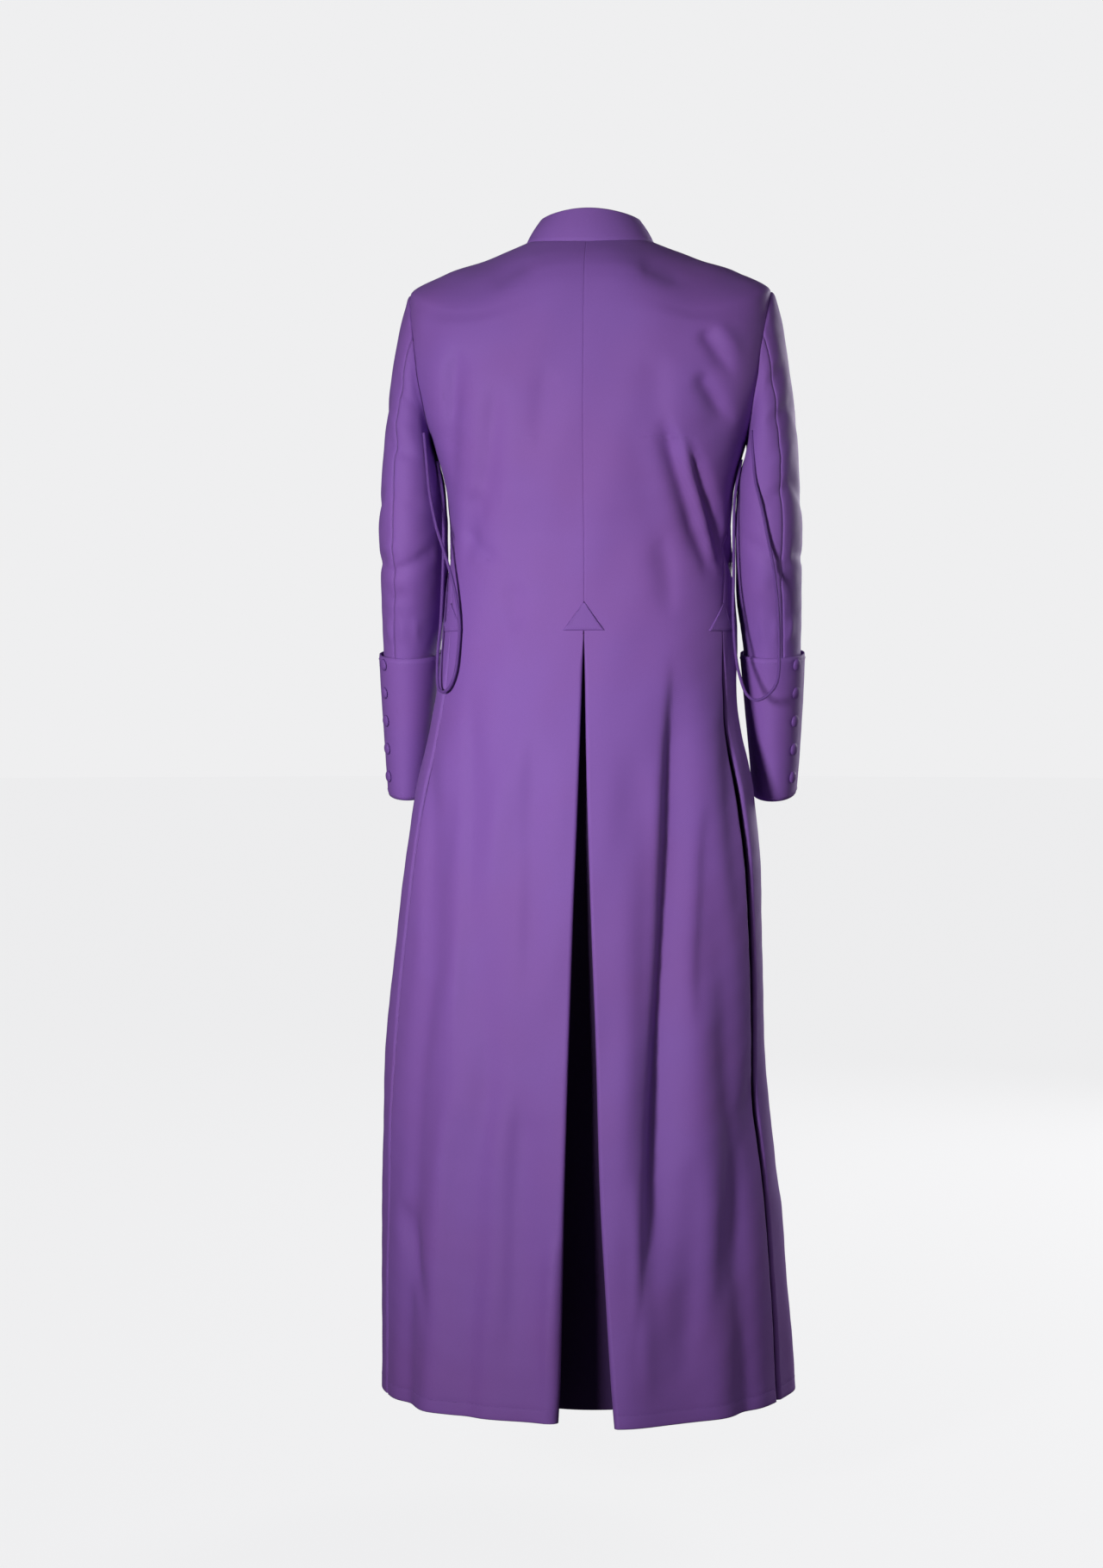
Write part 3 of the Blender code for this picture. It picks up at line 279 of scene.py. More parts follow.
cord_cloth = cloth_material("cord_cloth", CORD_PURPLE, CORD_PATCH, rib=0.0007, sheen=0.2, on_surface=False)
for name, places in LOOP_ROUTES.items():
    route = [tuple(MM * value for value in place) for place in places]
    points = smooth_route(route, CORD_SPACING)
    curve = bpy.data.curves.new(name + "_cord", "CURVE")
    curve.dimensions = "3D"
    curve.bevel_depth = 0.5 * CORD_DIAMETER
    curve.bevel_resolution = 3
    curve.use_fill_caps = True
    spline = curve.splines.new("POLY")
    spline.points.add(len(points) - 1)
    for knot, point in zip(spline.points, points):
        knot.co = (*point, 1.0)
    spline.use_smooth = True
    cord = put_in_scene(name + "_cord", curve)
    cord.data.materials.append(cord_cloth)
    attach(cord, "root")
    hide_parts(name)


# Body cloth: a wool-blend twill, cut in two backs and two fronts, joined at the shoulders, sides and
# centre back. Each section below takes its form from these tables, in metres down from the neck seam.
NECK_LEVEL = 0.006
SHOULDER_TIP_LEVEL = -0.054
ARMPIT_LEVEL = -0.235
PLEAT_HEAD_LEVEL = -0.465
HEM_LEVEL = -1.376
ARMHOLE_HALF_DEPTH = 0.062
SIDE_SEAM_ANGLE = math.radians(74)
BODY_COLUMNS = ("level", "back_rise", "front_drop", "half_width", "back_y", "side_y", "front_y",
                "squareness", "left_extra", "shoulder_dip")
BODY_SECTIONS = (
    (0.006, -0.006, -0.081, 0.077, 0.066, -0.002, -0.07, 2.0, 0.0, 0.0),
    (-0.0135, -0.0045, -0.072, 0.128, 0.088, -0.004, -0.086, 2.0, 0.0, 0.01),
    (-0.028, -0.006, -0.068, 0.172, 0.1, -0.005, -0.095, 2.15, 0.0, 0.02),
    (-0.054, -0.003, -0.06, 0.217, 0.109, -0.005, -0.102, 2.5, 0.0, 0.03),
    (-0.0805, -0.002, -0.055, 0.217, 0.114, -0.005, -0.108, 2.8, 0.0, 0.022),
    (-0.1445, 0.0, -0.038, 0.2135, 0.12, -0.004, -0.118, 3.0, 0.0, 0.006),
    (-0.2, 0.0, -0.022, 0.2005, 0.123, -0.002, -0.125, 2.8, 0.0, 0.0),
    (-0.235, 0.0, -0.015, 0.188, 0.122, 0.0, -0.127, 2.6, 0.0, 0.0),
    (-0.3, 0.0, -0.006, 0.171, 0.114, 0.002, -0.122, 2.4, 0.0, 0.0),
    (-0.35, 0.0, 0.0, 0.1668, 0.106, 0.002, -0.117, 2.35, 0.0, 0.0),
    (-0.42, 0.0, 0.0, 0.1725, 0.103, 0.002, -0.117, 2.3, 0.001, 0.0),
    (-0.465, 0.0, 0.0, 0.176, 0.107, 0.002, -0.12, 2.25, 0.002, 0.0),
    (-0.523, 0.0, 0.0, 0.18, 0.115, 0.001, -0.125, 2.2, 0.004, 0.0),
    (-0.579, 0.0, 0.0, 0.188, 0.125, 0.0, -0.132, 2.15, 0.006, 0.0),
    (-0.659, 0.0, 0.0, 0.2057, 0.137, 0.0, -0.14, 2.1, 0.007, 0.0),
    (-0.8, 0.0, 0.0, 0.2212, 0.156, 0.0, -0.156, 2.05, 0.0115, 0.0),
    (-0.967, 0.0, 0.0, 0.2312, 0.176, 0.0, -0.175, 2.0, 0.018, 0.0),
    (-1.117, 0.0, 0.0, 0.2396, 0.192, 0.0, -0.19, 2.0, 0.013, 0.0),
    (-1.376, 0.0, 0.0, 0.2482, 0.212, 0.0, -0.212, 2.0, 0.005, 0.0),
)
DIP_SCALE = 6.75

# Large hanging folds: degrees from centre back towards the garment's left, at their top and their low end
FOLD_COLUMNS = ("top_angle", "top", "low_angle", "low", "half_width", "top_depth", "low_depth")
FOLDS = (
    (-25, -0.55, -29, -1.24, 0.024, -0.006, -0.009),
    (-13, -0.90, -14, HEM_LEVEL, 0.050, 0.002, 0.020),
    (-44, -0.75, -46, HEM_LEVEL, 0.026, 0.003, 0.007),
    (-58, -0.70, -57, HEM_LEVEL, 0.018, -0.003, -0.006),
    (19, -0.85, 18, HEM_LEVEL, 0.050, -0.002, -0.014),
    (33, -0.62, 37, HEM_LEVEL, 0.018, -0.004, -0.007),
    (46, -0.60, 50, HEM_LEVEL, 0.020, 0.003, 0.006),
    (58, -0.58, 61, HEM_LEVEL, 0.016, -0.003, -0.006),
    (-88, -1.10, -88, HEM_LEVEL, 0.030, 0.002, 0.007),
    (104, -0.62, 108, HEM_LEVEL, 0.022, -0.003, -0.009),
    (124, -0.70, 126, HEM_LEVEL, 0.030, 0.003, 0.009),
    (145, -0.60, 146, HEM_LEVEL, 0.022, -0.003, -0.010),
    (-106, -0.66, -109, HEM_LEVEL, 0.022, -0.003, -0.009),
    (-127, -0.60, -129, HEM_LEVEL, 0.028, 0.003, 0.009),
    (-147, -0.68, -149, HEM_LEVEL, 0.022, -0.003, -0.009),
    (-47, -0.10, -62, -0.24, 0.018, 0.0, -0.004),
    (48, -0.11, 60, -0.22, 0.016, 0.0, -0.003),
    (-24, -0.20, -52, -0.42, 0.020, -0.002, -0.003),
    (137, -0.12, 118, -0.24, 0.020, 0.0, -0.004),
    (-135, -0.13, -118, -0.25, 0.020, 0.0, -0.004),
)
FOLD_FADE = 0.2
FOLD_FADE_DEPTH = 0.030

# Small creases of the body, in millimetres, by the side they are seen from: their run as (sideways,
# height), the half widths of their two flanks, and their depth outward
BODY_CREASES = {
    "back": (
        (((-138, -108), (-154, -130), (-179, -170)), 11, 8, -2.6),
        (((-150, -100), (-168, -120), (-183, -145)), 9, 9, 1.2),
        (((-133, -160), (-150, -182), (-176, -224)), 12, 8, -2.8),
        (((-96, -208), (-103, -240), (-122, -300), (-136, -345), (-153, -415)), 15, 8, -4.8),
        (((-109, -225), (-125, -280), (-142, -340), (-152, -390)), 9, 9, 2.2),
        (((-122, -228), (-140, -285), (-156, -340), (-162, -400)), 11, 7, -4.4),
        (((-82, -135), (-86, -190), (-88, -270)), 24, 16, -1.3),
        (((-90, -340), (-98, -395), (-100, -450)), 16, 11, -1.4),
        (((150, -125), (156, -160), (160, -225), (154, -300)), 8, 14, -2.2),
        (((102, -170), (108, -215), (117, -285), (135, -350)), 10, 16, -1.8),
        (((44, -150), (47, -195), (50, -260)), 14, 22, -1),
        (((130, -290), (139, -330), (143, -390)), 8, 13, -1.8),
        (((150, -335), (125, -365), (95, -382)), 7, 10, -1.2),
        (((90, -400), (82, -435), (80, -470)), 12, 18, -1.2),
        (((-60, -30), (-90, -40), (-125, -56)), 11, 14, -1.2),
        (((55, -27), (85, -38), (120, -56)), 11, 14, -1),
        (((-106, -480), (-106, -610), (-101, -760), (-96, -960), (-80, -1160), (-62, -1320)), 10, 32, -8),
        (((-64, -620), (-62, -800), (-56, -1000), (-44, -1200)), 20, 18, 1.8),
        (((-150, -640), (-145, -800), (-136, -940)), 9, 18, -2.2),
        (((-170, -520), (-174, -640), (-185, -840)), 12, 12, -2),
        (((-205, -930), (-195, -1050), (-176, -1170), (-145, -1340)), 18, 24, -3),
        (((-130, -1060), (-130, -1180), (-118, -1350)), 20, 14, -2),
        (((-62, -1080), (-70, -1200), (-80, -1370)), 11, 13, 1.6),
        (((186, -590), (185, -730), (190, -880)), 9, 16, -2.4),
        (((138, -510), (133, -660), (133, -820), (140, -980)), 11, 20, -2.4),
        (((60, -560), (58, -720), (60, -920)), 14, 22, -1.8),
        (((100, -600), (98, -800), (105, -1020)), 16, 20, 1.4),
        (((216, -1130), (205, -1190), (173, -1290)), 8, 13, -2.2),
        (((70, -990), (74, -1120), (84, -1330)), 14, 26, -2.4),
        (((145, -1000), (148, -1150), (156, -1350)), 14, 22, -1.8),
        (((30, -1150), (34, -1240), (38, -1370)), 10, 13, 1.6),
    ),
    "front": (
        (((188, -135), (160, -170), (130, -190)), 8, 13, -2.6),
        (((170, -215), (140, -250), (110, -265)), 8, 12, -2),
        (((150, -300), (115, -350), (90, -410)), 10, 14, -2.2),
        (((145, -380), (105, -420), (65, -435)), 8, 11, -1.8),
        (((80, -95), (95, -150), (90, -220)), 16, 20, -1.6),
        (((60, -480), (70, -620), (82, -850)), 13, 20, -2.6),
        (((120, -510), (133, -680), (150, -920)), 12, 18, -2.4),
        (((42, -900), (48, -1100), (56, -1340)), 14, 20, -2.4),
        (((175, -1050), (180, -1200), (190, -1350)), 12, 18, -2),
        (((-188, -125), (-164, -170), (-135, -205)), 8, 13, -2.4),
        (((-170, -230), (-145, -260), (-120, -272)), 8, 11, -2),
        (((-150, -315), (-120, -355), (-98, -420)), 9, 13, -2.4),
        (((-142, -395), (-110, -430), (-75, -440)), 8, 11, -1.6),
        (((-78, -105), (-88, -165), (-85, -235)), 16, 20, -1.6),
        (((-70, -500), (-80, -660), (-90, -900)), 12, 18, -2.4),
        (((-125, -490), (-135, -620), (-148, -800)), 12, 16, -2.2),
        (((-50, -950), (-56, -1150), (-62, -1360)), 14, 20, -2.2),
    ),
    "left": (
        (((-20, -245), (-22, -340), (-25, -450), (-30, -560)), 30, 30, 2),
        (((-30, -260), (-10, -300), (-15, -360)), 9, 12, -2.4),
        (((40, -330), (10, -370), (-30, -390)), 8, 11, -2),
        (((-50, -520), (-60, -700), (-65, -950)), 12, 17, -2.6),
        (((-105, -700), (-120, -900), (-130, -1200)), 14, 18, -2.4),
        (((5, -650), (3, -850), (-2, -1150)), 12, 16, -2.4),
    ),
    "right": (
        (((-20, -245), (-22, -340), (-25, -450), (-30, -560)), 30, 30, 2),
        (((-25, -265), (-12, -310), (-20, -370)), 9, 12, -2.6),
        (((35, -340), (5, -380), (-35, -395)), 8, 11, -2.2),
        (((-45, -500), (-56, -680), (-62, -900)), 12, 17, -2.6),
        (((-110, -740), (-123, -960), (-133, -1240)), 14, 18, -2.4),
        (((0, -700), (-2, -900), (-8, -1200)), 12, 16, -2.2),
    ),
}

# The rows and columns of each piece's grid of cloth
SHOULDER_ROWS = 22
ARMHOLE_ROWS = 44
WAIST_ROWS = 44
SKIRT_ROWS = 170
PANEL_COLUMNS = 54
EDGE_TURN_COLUMNS = 5
SEAM_DIP = 0.0004
SEAM_FLANK = 0.0008
CLOTH_THICKNESS = 0.0013
HEM_DEPTH = 0.0155
HEM_SEAM_FLANK = 0.001
HEM_EDGE = 0.0012
CREASE_DEPTH = 2.5
SLEEVE_CREASE_DEPTH = 1.15
CALM_BAND = 0.02
CALM_ANGLE = 0.22
CALM_FADE = 0.12
SMALL_STEP = 0.002
SMALL_TURN = 0.01
SAME_PLACE = 0.00001
STITCH_LIFT = 0.0003

BODY_PURPLE = (0.205, 0.088, 0.372)
BODY_PATCH = (0.212, 0.080, 0.325)


def table_value(columns, rows, name, level):
    """A column of a table at many levels, as a smooth curve that never passes its own rows."""
    place = columns.index(name)
    levels = numpy.array([row[0] for row in rows])
    values = numpy.array([row[place] for row in rows])
    slopes = numpy.diff(values) / numpy.diff(levels)
    before, after = slopes[:-1], slopes[1:]
    same_way = before * after > 0.0
    middle = numpy.where(same_way, 2.0 * before * after / numpy.where(same_way, before + after, 1.0), 0.0)
    tangents = numpy.concatenate((slopes[:1], middle, slopes[-1:]))
    level = numpy.clip(level, levels[-1], levels[0])
    i = numpy.clip(numpy.searchsorted(-levels, -level, side="left") - 1, 0, len(rows) - 2)
    span = levels[i + 1] - levels[i]
    t = (level - levels[i]) / span
    return (values[i] * (1 + 2 * t) * (1 - t) ** 2 + tangents[i] * span * t * (1 - t) ** 2
            + values[i + 1] * t * t * (3 - 2 * t) - tangents[i + 1] * span * t * t * (1 - t))


def section_point(section, level, angle):
    """Points of the body's sections; angle 0 is centre back, a quarter turn the garment's left side."""
    sine, cosine = numpy.sin(angle), numpy.cos(angle)
    behind = cosine >= 0.0
    depth = numpy.where(behind, section["back_y"] - section["side_y"], section["side_y"] - section["front_y"])
    rise = numpy.where(behind, section["back_rise"], section["front_drop"])
    power = section["squareness"]
    width = section["half_width"] + numpy.sign(sine) * section["left_extra"]
    dip = section["shoulder_dip"] * DIP_SCALE * sine ** 4 * cosine ** 2
    radius = (numpy.abs(sine / width) ** power + numpy.abs(cosine / depth) ** power) ** (-1.0 / power)
    return numpy.stack((radius * sine, section["side_y"] + radius * cosine,
                        level + rise * cosine ** 2 - dip), axis=-1)


def body_point(level, angle):
    section = {name: table_value(BODY_COLUMNS, BODY_SECTIONS, name, level) for name in BODY_COLUMNS[1:]}
    return section_point(section, level, angle)


def unit(vectors):
    return vectors / numpy.linalg.norm(vectors, axis=-1, keepdims=True)


def body_normal(level, angle):
    down = (body_point(numpy.maximum(level - SMALL_STEP, HEM_LEVEL), angle)
            - body_point(numpy.minimum(level + SMALL_STEP, NECK_LEVEL), angle))
    around = body_point(level, angle + SMALL_TURN) - body_point(level, angle - SMALL_TURN)
    return unit(numpy.cross(around, down))


def smooth_step(value):
    value = numpy.clip(value, 0.0, 1.0)
    return value * value * (3.0 - 2.0 * value)


def fold_lift(level, angle, points):
    """How far the large hanging folds push the cloth out."""
    radius = numpy.linalg.norm(points - numpy.stack((level * 0, level * 0, level), axis=-1), axis=-1)
    total = level * 0.0
    for row in FOLDS:
        fold = dict(zip(FOLD_COLUMNS, row))
        run = (fold["top"] - level) / (fold["top"] - fold["low"])
        fade = smooth_step(run / FOLD_FADE)
        if fold["low"] > HEM_LEVEL:
            fade = fade * smooth_step((1.0 - run) / FOLD_FADE)
        centre = numpy.radians(fold["top_angle"] + (fold["low_angle"] - fold["top_angle"]) * run)
        apart = (angle - centre + math.pi) % (2.0 * math.pi) - math.pi
        depth = fold["top_depth"] + (fold["low_depth"] - fold["top_depth"]) * run
        inside = (run >= 0.0) & (run <= 1.0 + 1e-6)
        swell = numpy.exp(-(apart * radius / fold["half_width"]) ** 2)
        total += numpy.where(inside, depth * fade * swell, 0.0)
    return total


# The side that a crease is seen from: the axis that runs sideways there, the axis towards the eye and its
# sign, and the half of the garment that the crease keeps to (0 for both)
CREASE_SIDES = {
    "back": (0, 1, 1.0, 0.0), "front": (0, 1, -1.0, 0.0),
    "left": (1, 0, 1.0, 1.0), "right": (1, 0, -1.0, -1.0),
    "left_inside": (1, 0, -1.0, 1.0), "right_inside": (1, 0, 1.0, -1.0),
}
CREASE_STEP = 0.004
CREASE_REACH = 2.6
LEAST_FACING = 0.12
FULL_FACING = 0.35


def crease_lift(points, normals, creases):
    """How far the small creases push the cloth out: soft at both ends, and one flank steeper."""
    total = numpy.zeros(points.shape[:-1])
    for seen_from, rows in creases.items():
        sideways, toward, sign, half = CREASE_SIDES[seen_from]
        flat = points[..., (sideways, 2)]
        facing = normals[..., toward] * sign
        for run, *sizes in rows:
            left_width, right_width, depth = (MM * size for size in sizes)
            knots = MM * numpy.array(run)
            spots = numpy.linspace(0.0, 1.0, len(run))
            length = MM * sum(math.dist(a, b) for a, b in zip(run, run[1:]))
            t = numpy.linspace(0.0, 1.0, max(26, int(length / CREASE_STEP)))
            line = numpy.stack([numpy.polyval(numpy.polyfit(spots, knots[:, k], min(3, len(run) - 1)), t)
                                for k in (0, 1)], axis=-1)
            reach = CREASE_REACH * max(left_width, right_width)
            near = ((facing > LEAST_FACING) & (points[..., 0] * half >= 0.0)
                    & (flat > line.min(axis=0) - reach).all(axis=-1)
                    & (flat < line.max(axis=0) + reach).all(axis=-1))
            if not near.any():
                continue
            offset = flat[near][:, None, :] - line[None, :, :]
            nearest = numpy.linalg.norm(offset, axis=-1).argmin(axis=1)
            tangent = unit(numpy.gradient(line, axis=0))[nearest]
            away = offset[numpy.arange(len(nearest)), nearest]
            turn = tangent[:, 0] * away[:, 1] - tangent[:, 1] * away[:, 0]
            fade = smooth_step(t[nearest] / 0.3) * smooth_step((1.0 - t[nearest]) / 0.35)
            width = numpy.where(turn > 0.0, left_width, right_width) * (0.6 + 0.4 * fade)
            total[near] += (depth * fade * numpy.exp(-(turn / width) ** 2)
                            * smooth_step((facing[near] - LEAST_FACING) / FULL_FACING))
    return total


def waver(points, size=0.0006):
    """The slight unevenness of hanging cloth, broad and very shallow."""
    x, y, z = points[..., 0], points[..., 1], points[..., 2]
    return size * (numpy.sin(61.0 * x + 17.0 * z + 1.3) * numpy.sin(23.0 * z - 31.0 * y + 0.4)
                   + 0.6 * numpy.sin(97.0 * x - 53.0 * y + 29.0 * z)
                   + 0.4 * numpy.sin(143.0 * y + 71.0 * z + 2.0) * numpy.sin(37.0 * x + 90.0 * z))


def cloth_point(level, angle, across=0.0, depth=0.0):
    """Points of the body's cloth, moved along the section by across and inward by depth."""
    span = body_point(level, angle + SMALL_TURN) - body_point(level, angle - SMALL_TURN)
    angle = angle + across * 2.0 * SMALL_TURN / numpy.linalg.norm(span, axis=-1)
    points = body_point(level, angle)
    normals = body_normal(level, angle)
    calm = smooth_step((NECK_LEVEL - level) / CALM_BAND)
    armhole = numpy.abs(numpy.abs((angle + math.pi) % (2.0 * math.pi) - math.pi) - 0.5 * math.pi)
    at_armhole = (level > ARMPIT_LEVEL) & (level < SHOULDER_TIP_LEVEL + CALM_BAND)
    calm = calm * numpy.where(at_armhole, smooth_step((armhole - CALM_ANGLE) / CALM_FADE), 1.0)
    small = CREASE_DEPTH * crease_lift(points, normals, BODY_CREASES) + waver(points)
    lift = fold_lift(level, angle, points) + small * calm
    fade = numpy.maximum(0.0, 1.0 - numpy.maximum(0.0, depth) / FOLD_FADE_DEPTH)
    return points + normals * (lift * fade - depth)[..., None]


def steps_between(start, end, count):
    return list(numpy.linspace(start, end, count + 1)[1:])


ARMHOLE_MIDDLE = 0.5 * (SHOULDER_TIP_LEVEL + ARMPIT_LEVEL)
ARMHOLE_HALF = 0.5 * (SHOULDER_TIP_LEVEL - ARMPIT_LEVEL)
LEVELS = [NECK_LEVEL, NECK_LEVEL - SEAM_FLANK]
LEVELS += steps_between(LEVELS[-1], SHOULDER_TIP_LEVEL, SHOULDER_ROWS)
TIP_ROW = len(LEVELS) - 1
LEVELS += [ARMHOLE_MIDDLE + ARMHOLE_HALF * math.cos(math.pi * k / ARMHOLE_ROWS)
           for k in range(1, ARMHOLE_ROWS + 1)]
PIT_ROW = len(LEVELS) - 1
LEVELS += steps_between(ARMPIT_LEVEL, PLEAT_HEAD_LEVEL, WAIST_ROWS)
HEAD_ROW = len(LEVELS) - 1
LEVELS += steps_between(PLEAT_HEAD_LEVEL, HEM_LEVEL + HEM_DEPTH + HEM_SEAM_FLANK, SKIRT_ROWS)
LEVELS += [HEM_LEVEL + HEM_DEPTH, HEM_LEVEL + HEM_DEPTH - HEM_SEAM_FLANK]
LEVELS += steps_between(LEVELS[-1], HEM_LEVEL + HEM_EDGE, 3) + [HEM_LEVEL]
LEVELS = numpy.array(LEVELS)
HEM_STITCH_ROW = len(LEVELS) - 6


def outer_angle(front):
    """The angle at which a panel ends on each row: shoulder seam, armhole edge, or side seam."""
    section = {name: table_value(BODY_COLUMNS, BODY_SECTIONS, name, LEVELS) for name in BODY_COLUMNS[1:]}
    depth = section["side_y"] - section["front_y"] if front else section["back_y"] - section["side_y"]
    share = numpy.clip((LEVELS - ARMHOLE_MIDDLE) / ARMHOLE_HALF, -1.0, 1.0)
    y = ARMHOLE_HALF_DEPTH * numpy.sqrt(numpy.maximum(0.0, 1.0 - share ** 2))
    power = section["squareness"]
    x = section["half_width"] * (1.0 - (y / depth) ** power) ** (1.0 / power)
    opening = 0.5 * math.pi + numpy.arctan2(y, x) * (1 if front else -1)
    run = smooth_step((ARMPIT_LEVEL - LEVELS) / (ARMPIT_LEVEL - PLEAT_HEAD_LEVEL))
    seam = 0.5 * math.pi + (SIDE_SEAM_ANGLE - 0.5 * math.pi) * run
    rows = numpy.arange(len(LEVELS))
    angle = numpy.where((rows > TIP_ROW) & (rows < PIT_ROW), opening, seam)
    return numpy.where(rows <= TIP_ROW, 0.5 * math.pi, angle)


def lay_cloth(points, outward, closed=False, drop_faces=None, grain=0):
    """A grid of cloth laid through rows of points, facing outward, with a UV map in metres whose u starts
    from the grain's column."""
    rows, columns = points.shape[:2]
    mesh = bmesh.new()
    bmesh.ops.create_grid(mesh, x_segments=columns - 1, y_segments=rows - 1, size=1.0)
    mesh.verts.ensure_lookup_table()
    places = [(round((vert.co.y + 1.0) * 0.5 * (rows - 1)), round((vert.co.x + 1.0) * 0.5 * (columns - 1)))
              for vert in mesh.verts]
    lengths = numpy.linalg.norm(numpy.diff(points, axis=1), axis=-1)
    u = numpy.concatenate((numpy.zeros((rows, 1)), numpy.cumsum(lengths, axis=1)), axis=1)
    drops = numpy.linalg.norm(numpy.diff(points, axis=0), axis=-1)
    v = -numpy.concatenate((numpy.zeros((1, columns)), numpy.cumsum(drops, axis=0)), axis=0)
    u = u - u[:, grain:grain + 1]
    uv = mesh.loops.layers.uv.new("cloth")
    for vert, (row, column) in zip(mesh.verts, places):
        vert.co = points[row, column]
    for face in mesh.faces:
        face.smooth = True
        for loop in face.loops:
            row, column = places[loop.vert.index]
            loop[uv].uv = (u[row, column], v[row, column])
    if drop_faces is not None:
        gone = [face for face in mesh.faces
                if drop_faces(*numpy.mean([places[vert.index] for vert in face.verts], axis=0))]
        bmesh.ops.delete(mesh, geom=gone, context="FACES")
    mesh.normal_update()
    some = list(mesh.faces)[::7]
    if sum(face.normal.dot(Vector(outward(face.calc_center_median()))) for face in some) < 0.0:
        bmesh.ops.reverse_faces(mesh, faces=mesh.faces)
    if closed:
        edge = [vert for vert in mesh.verts if vert.is_boundary]
        bmesh.ops.remove_doubles(mesh, verts=edge, dist=SAME_PLACE)
    return mesh


def as_piece(name, mesh, material, node=None):
    """A finished mesh as an object that rides the garment, in the place of its node if it has one."""
    data = bpy.data.meshes.new(name)
    mesh.to_mesh(data)
    mesh.free()
    data.materials.append(material)
    piece = put_in_scene(name, data)
    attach(piece, "root")
    if node is not None:
        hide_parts(node)
    return piece


def finish_cloth(node, mesh, material, thickness=CLOTH_THICKNESS):
    """One piece of cloth as an object: its thickness lies inward of the face that shows."""
    piece = as_piece(node + "_cloth", mesh, material, node)
    wall = piece.modifiers.new("thickness", "SOLIDIFY")
    wall.thickness = thickness
    wall.offset = -1.0


def even_line(points, normals, spacing):
    """The middle, direction and facing of each stitch along a line of points."""
    steps = numpy.linalg.norm(numpy.diff(points, axis=0), axis=-1)
    run = numpy.concatenate(([0.0], numpy.cumsum(steps)))
    count = max(1, int(run[-1] / spacing))
    spots = (numpy.arange(count) + 0.5) * run[-1] / count

    def found_at(spots, values):
        return numpy.stack([numpy.interp(spots, run, values[:, k]) for k in range(3)], axis=-1)

    forward = unit(found_at(spots + 0.001, points) - found_at(spots - 0.001, points))
    return found_at(spots, points), forward, unit(found_at(spots, normals))


def sew(name, lines, material, spacing=0.0042, length=0.0027, width=0.00055, height=0.0003):
    """Rows of machine stitches: each is a small bead of thread lying on the cloth along its line."""
    mesh = bmesh.new()
    size = Matrix.Diagonal((0.5 * length, 0.5 * width, height, 1.0))
    for points, normals in lines:
        for middle, forward, up in zip(*even_line(points, normals, spacing)):
            across = unit(numpy.cross(up, forward))
            turn = Matrix((forward, across, unit(numpy.cross(forward, across)))).transposed().to_4x4()
            bmesh.ops.create_icosphere(mesh, subdivisions=1, radius=1.0,
                                       matrix=Matrix.Translation(middle) @ turn @ size)
    for face in mesh.faces:
        face.smooth = True
    return as_piece(name, mesh, material)


def row_normals(points, row, outward):
    """The direction that the cloth faces along one row of its grid."""
    across = numpy.gradient(points[row], axis=0)
    down = points[min(row + 1, len(points) - 1)] - points[row - 1]
    normals = unit(numpy.cross(across, down))
    middle = len(normals) // 2
    return normals if normals[middle].dot(outward(Vector(points[row, middle]))) > 0.0 else -normals


def body_outward(place):
    """Outward from the body's middle line, and upward too above the waist."""
    return (place.x, place.y, 0.25 * max(0.0, place.z + 0.35))


def sew_hem(name, points, kept):
    """The line of stitches above a panel's hem."""
    facing = row_normals(points, HEM_STITCH_ROW, body_outward)
    return sew(name, [((points[HEM_STITCH_ROW] + STITCH_LIFT * facing)[kept], facing[kept])], thread)


# Pleats: half the gap and the edge's radius on the left and right, then the inner fold
PLEAT_COLUMNS = ("level", "gap_left", "gap_right", "edge_left", "edge_right", "reach", "depth")
BACK_PLEAT = (
    (PLEAT_HEAD_LEVEL, 0.0003, 0.0003, 0.0040, 0.0040, 0.034, 0.0135),
    (-0.630, 0.0040, 0.0050, 0.0040, 0.0040, 0.040, 0.022),
    (-0.800, 0.0090, 0.0120, 0.0040, 0.0040, 0.050, 0.042),
    (-0.934, 0.0125, 0.0185, 0.0050, 0.0040, 0.060, 0.062),
    (-1.117, 0.0170, 0.0250, 0.0080, 0.0040, 0.070, 0.085),
    (-1.217, 0.0190, 0.0310, 0.0120, 0.0040, 0.075, 0.098),
    (-1.328, 0.0220, 0.0380, 0.0180, 0.0050, 0.083, 0.112),
    (HEM_LEVEL, 0.0250, 0.0420, 0.0220, 0.0050, 0.088, 0.119),
)
SIDE_PLEAT = (
    (PLEAT_HEAD_LEVEL, 0.0003, 0.0003, 0.0040, 0.0040, 0.026, 0.0135),
    (-0.600, 0.0040, 0.0040, 0.0040, 0.0040, 0.030, 0.018),
    (-0.700, 0.0055, 0.0055, 0.0040, 0.0040, 0.032, 0.022),
    (-0.900, 0.0055, 0.0055, 0.0040, 0.0040, 0.036, 0.028),
    (-1.100, 0.0040, 0.0040, 0.0040, 0.0040, 0.040, 0.034),
    (HEM_LEVEL, 0.0040, 0.0040, 0.0050, 0.0050, 0.046, 0.042),
)


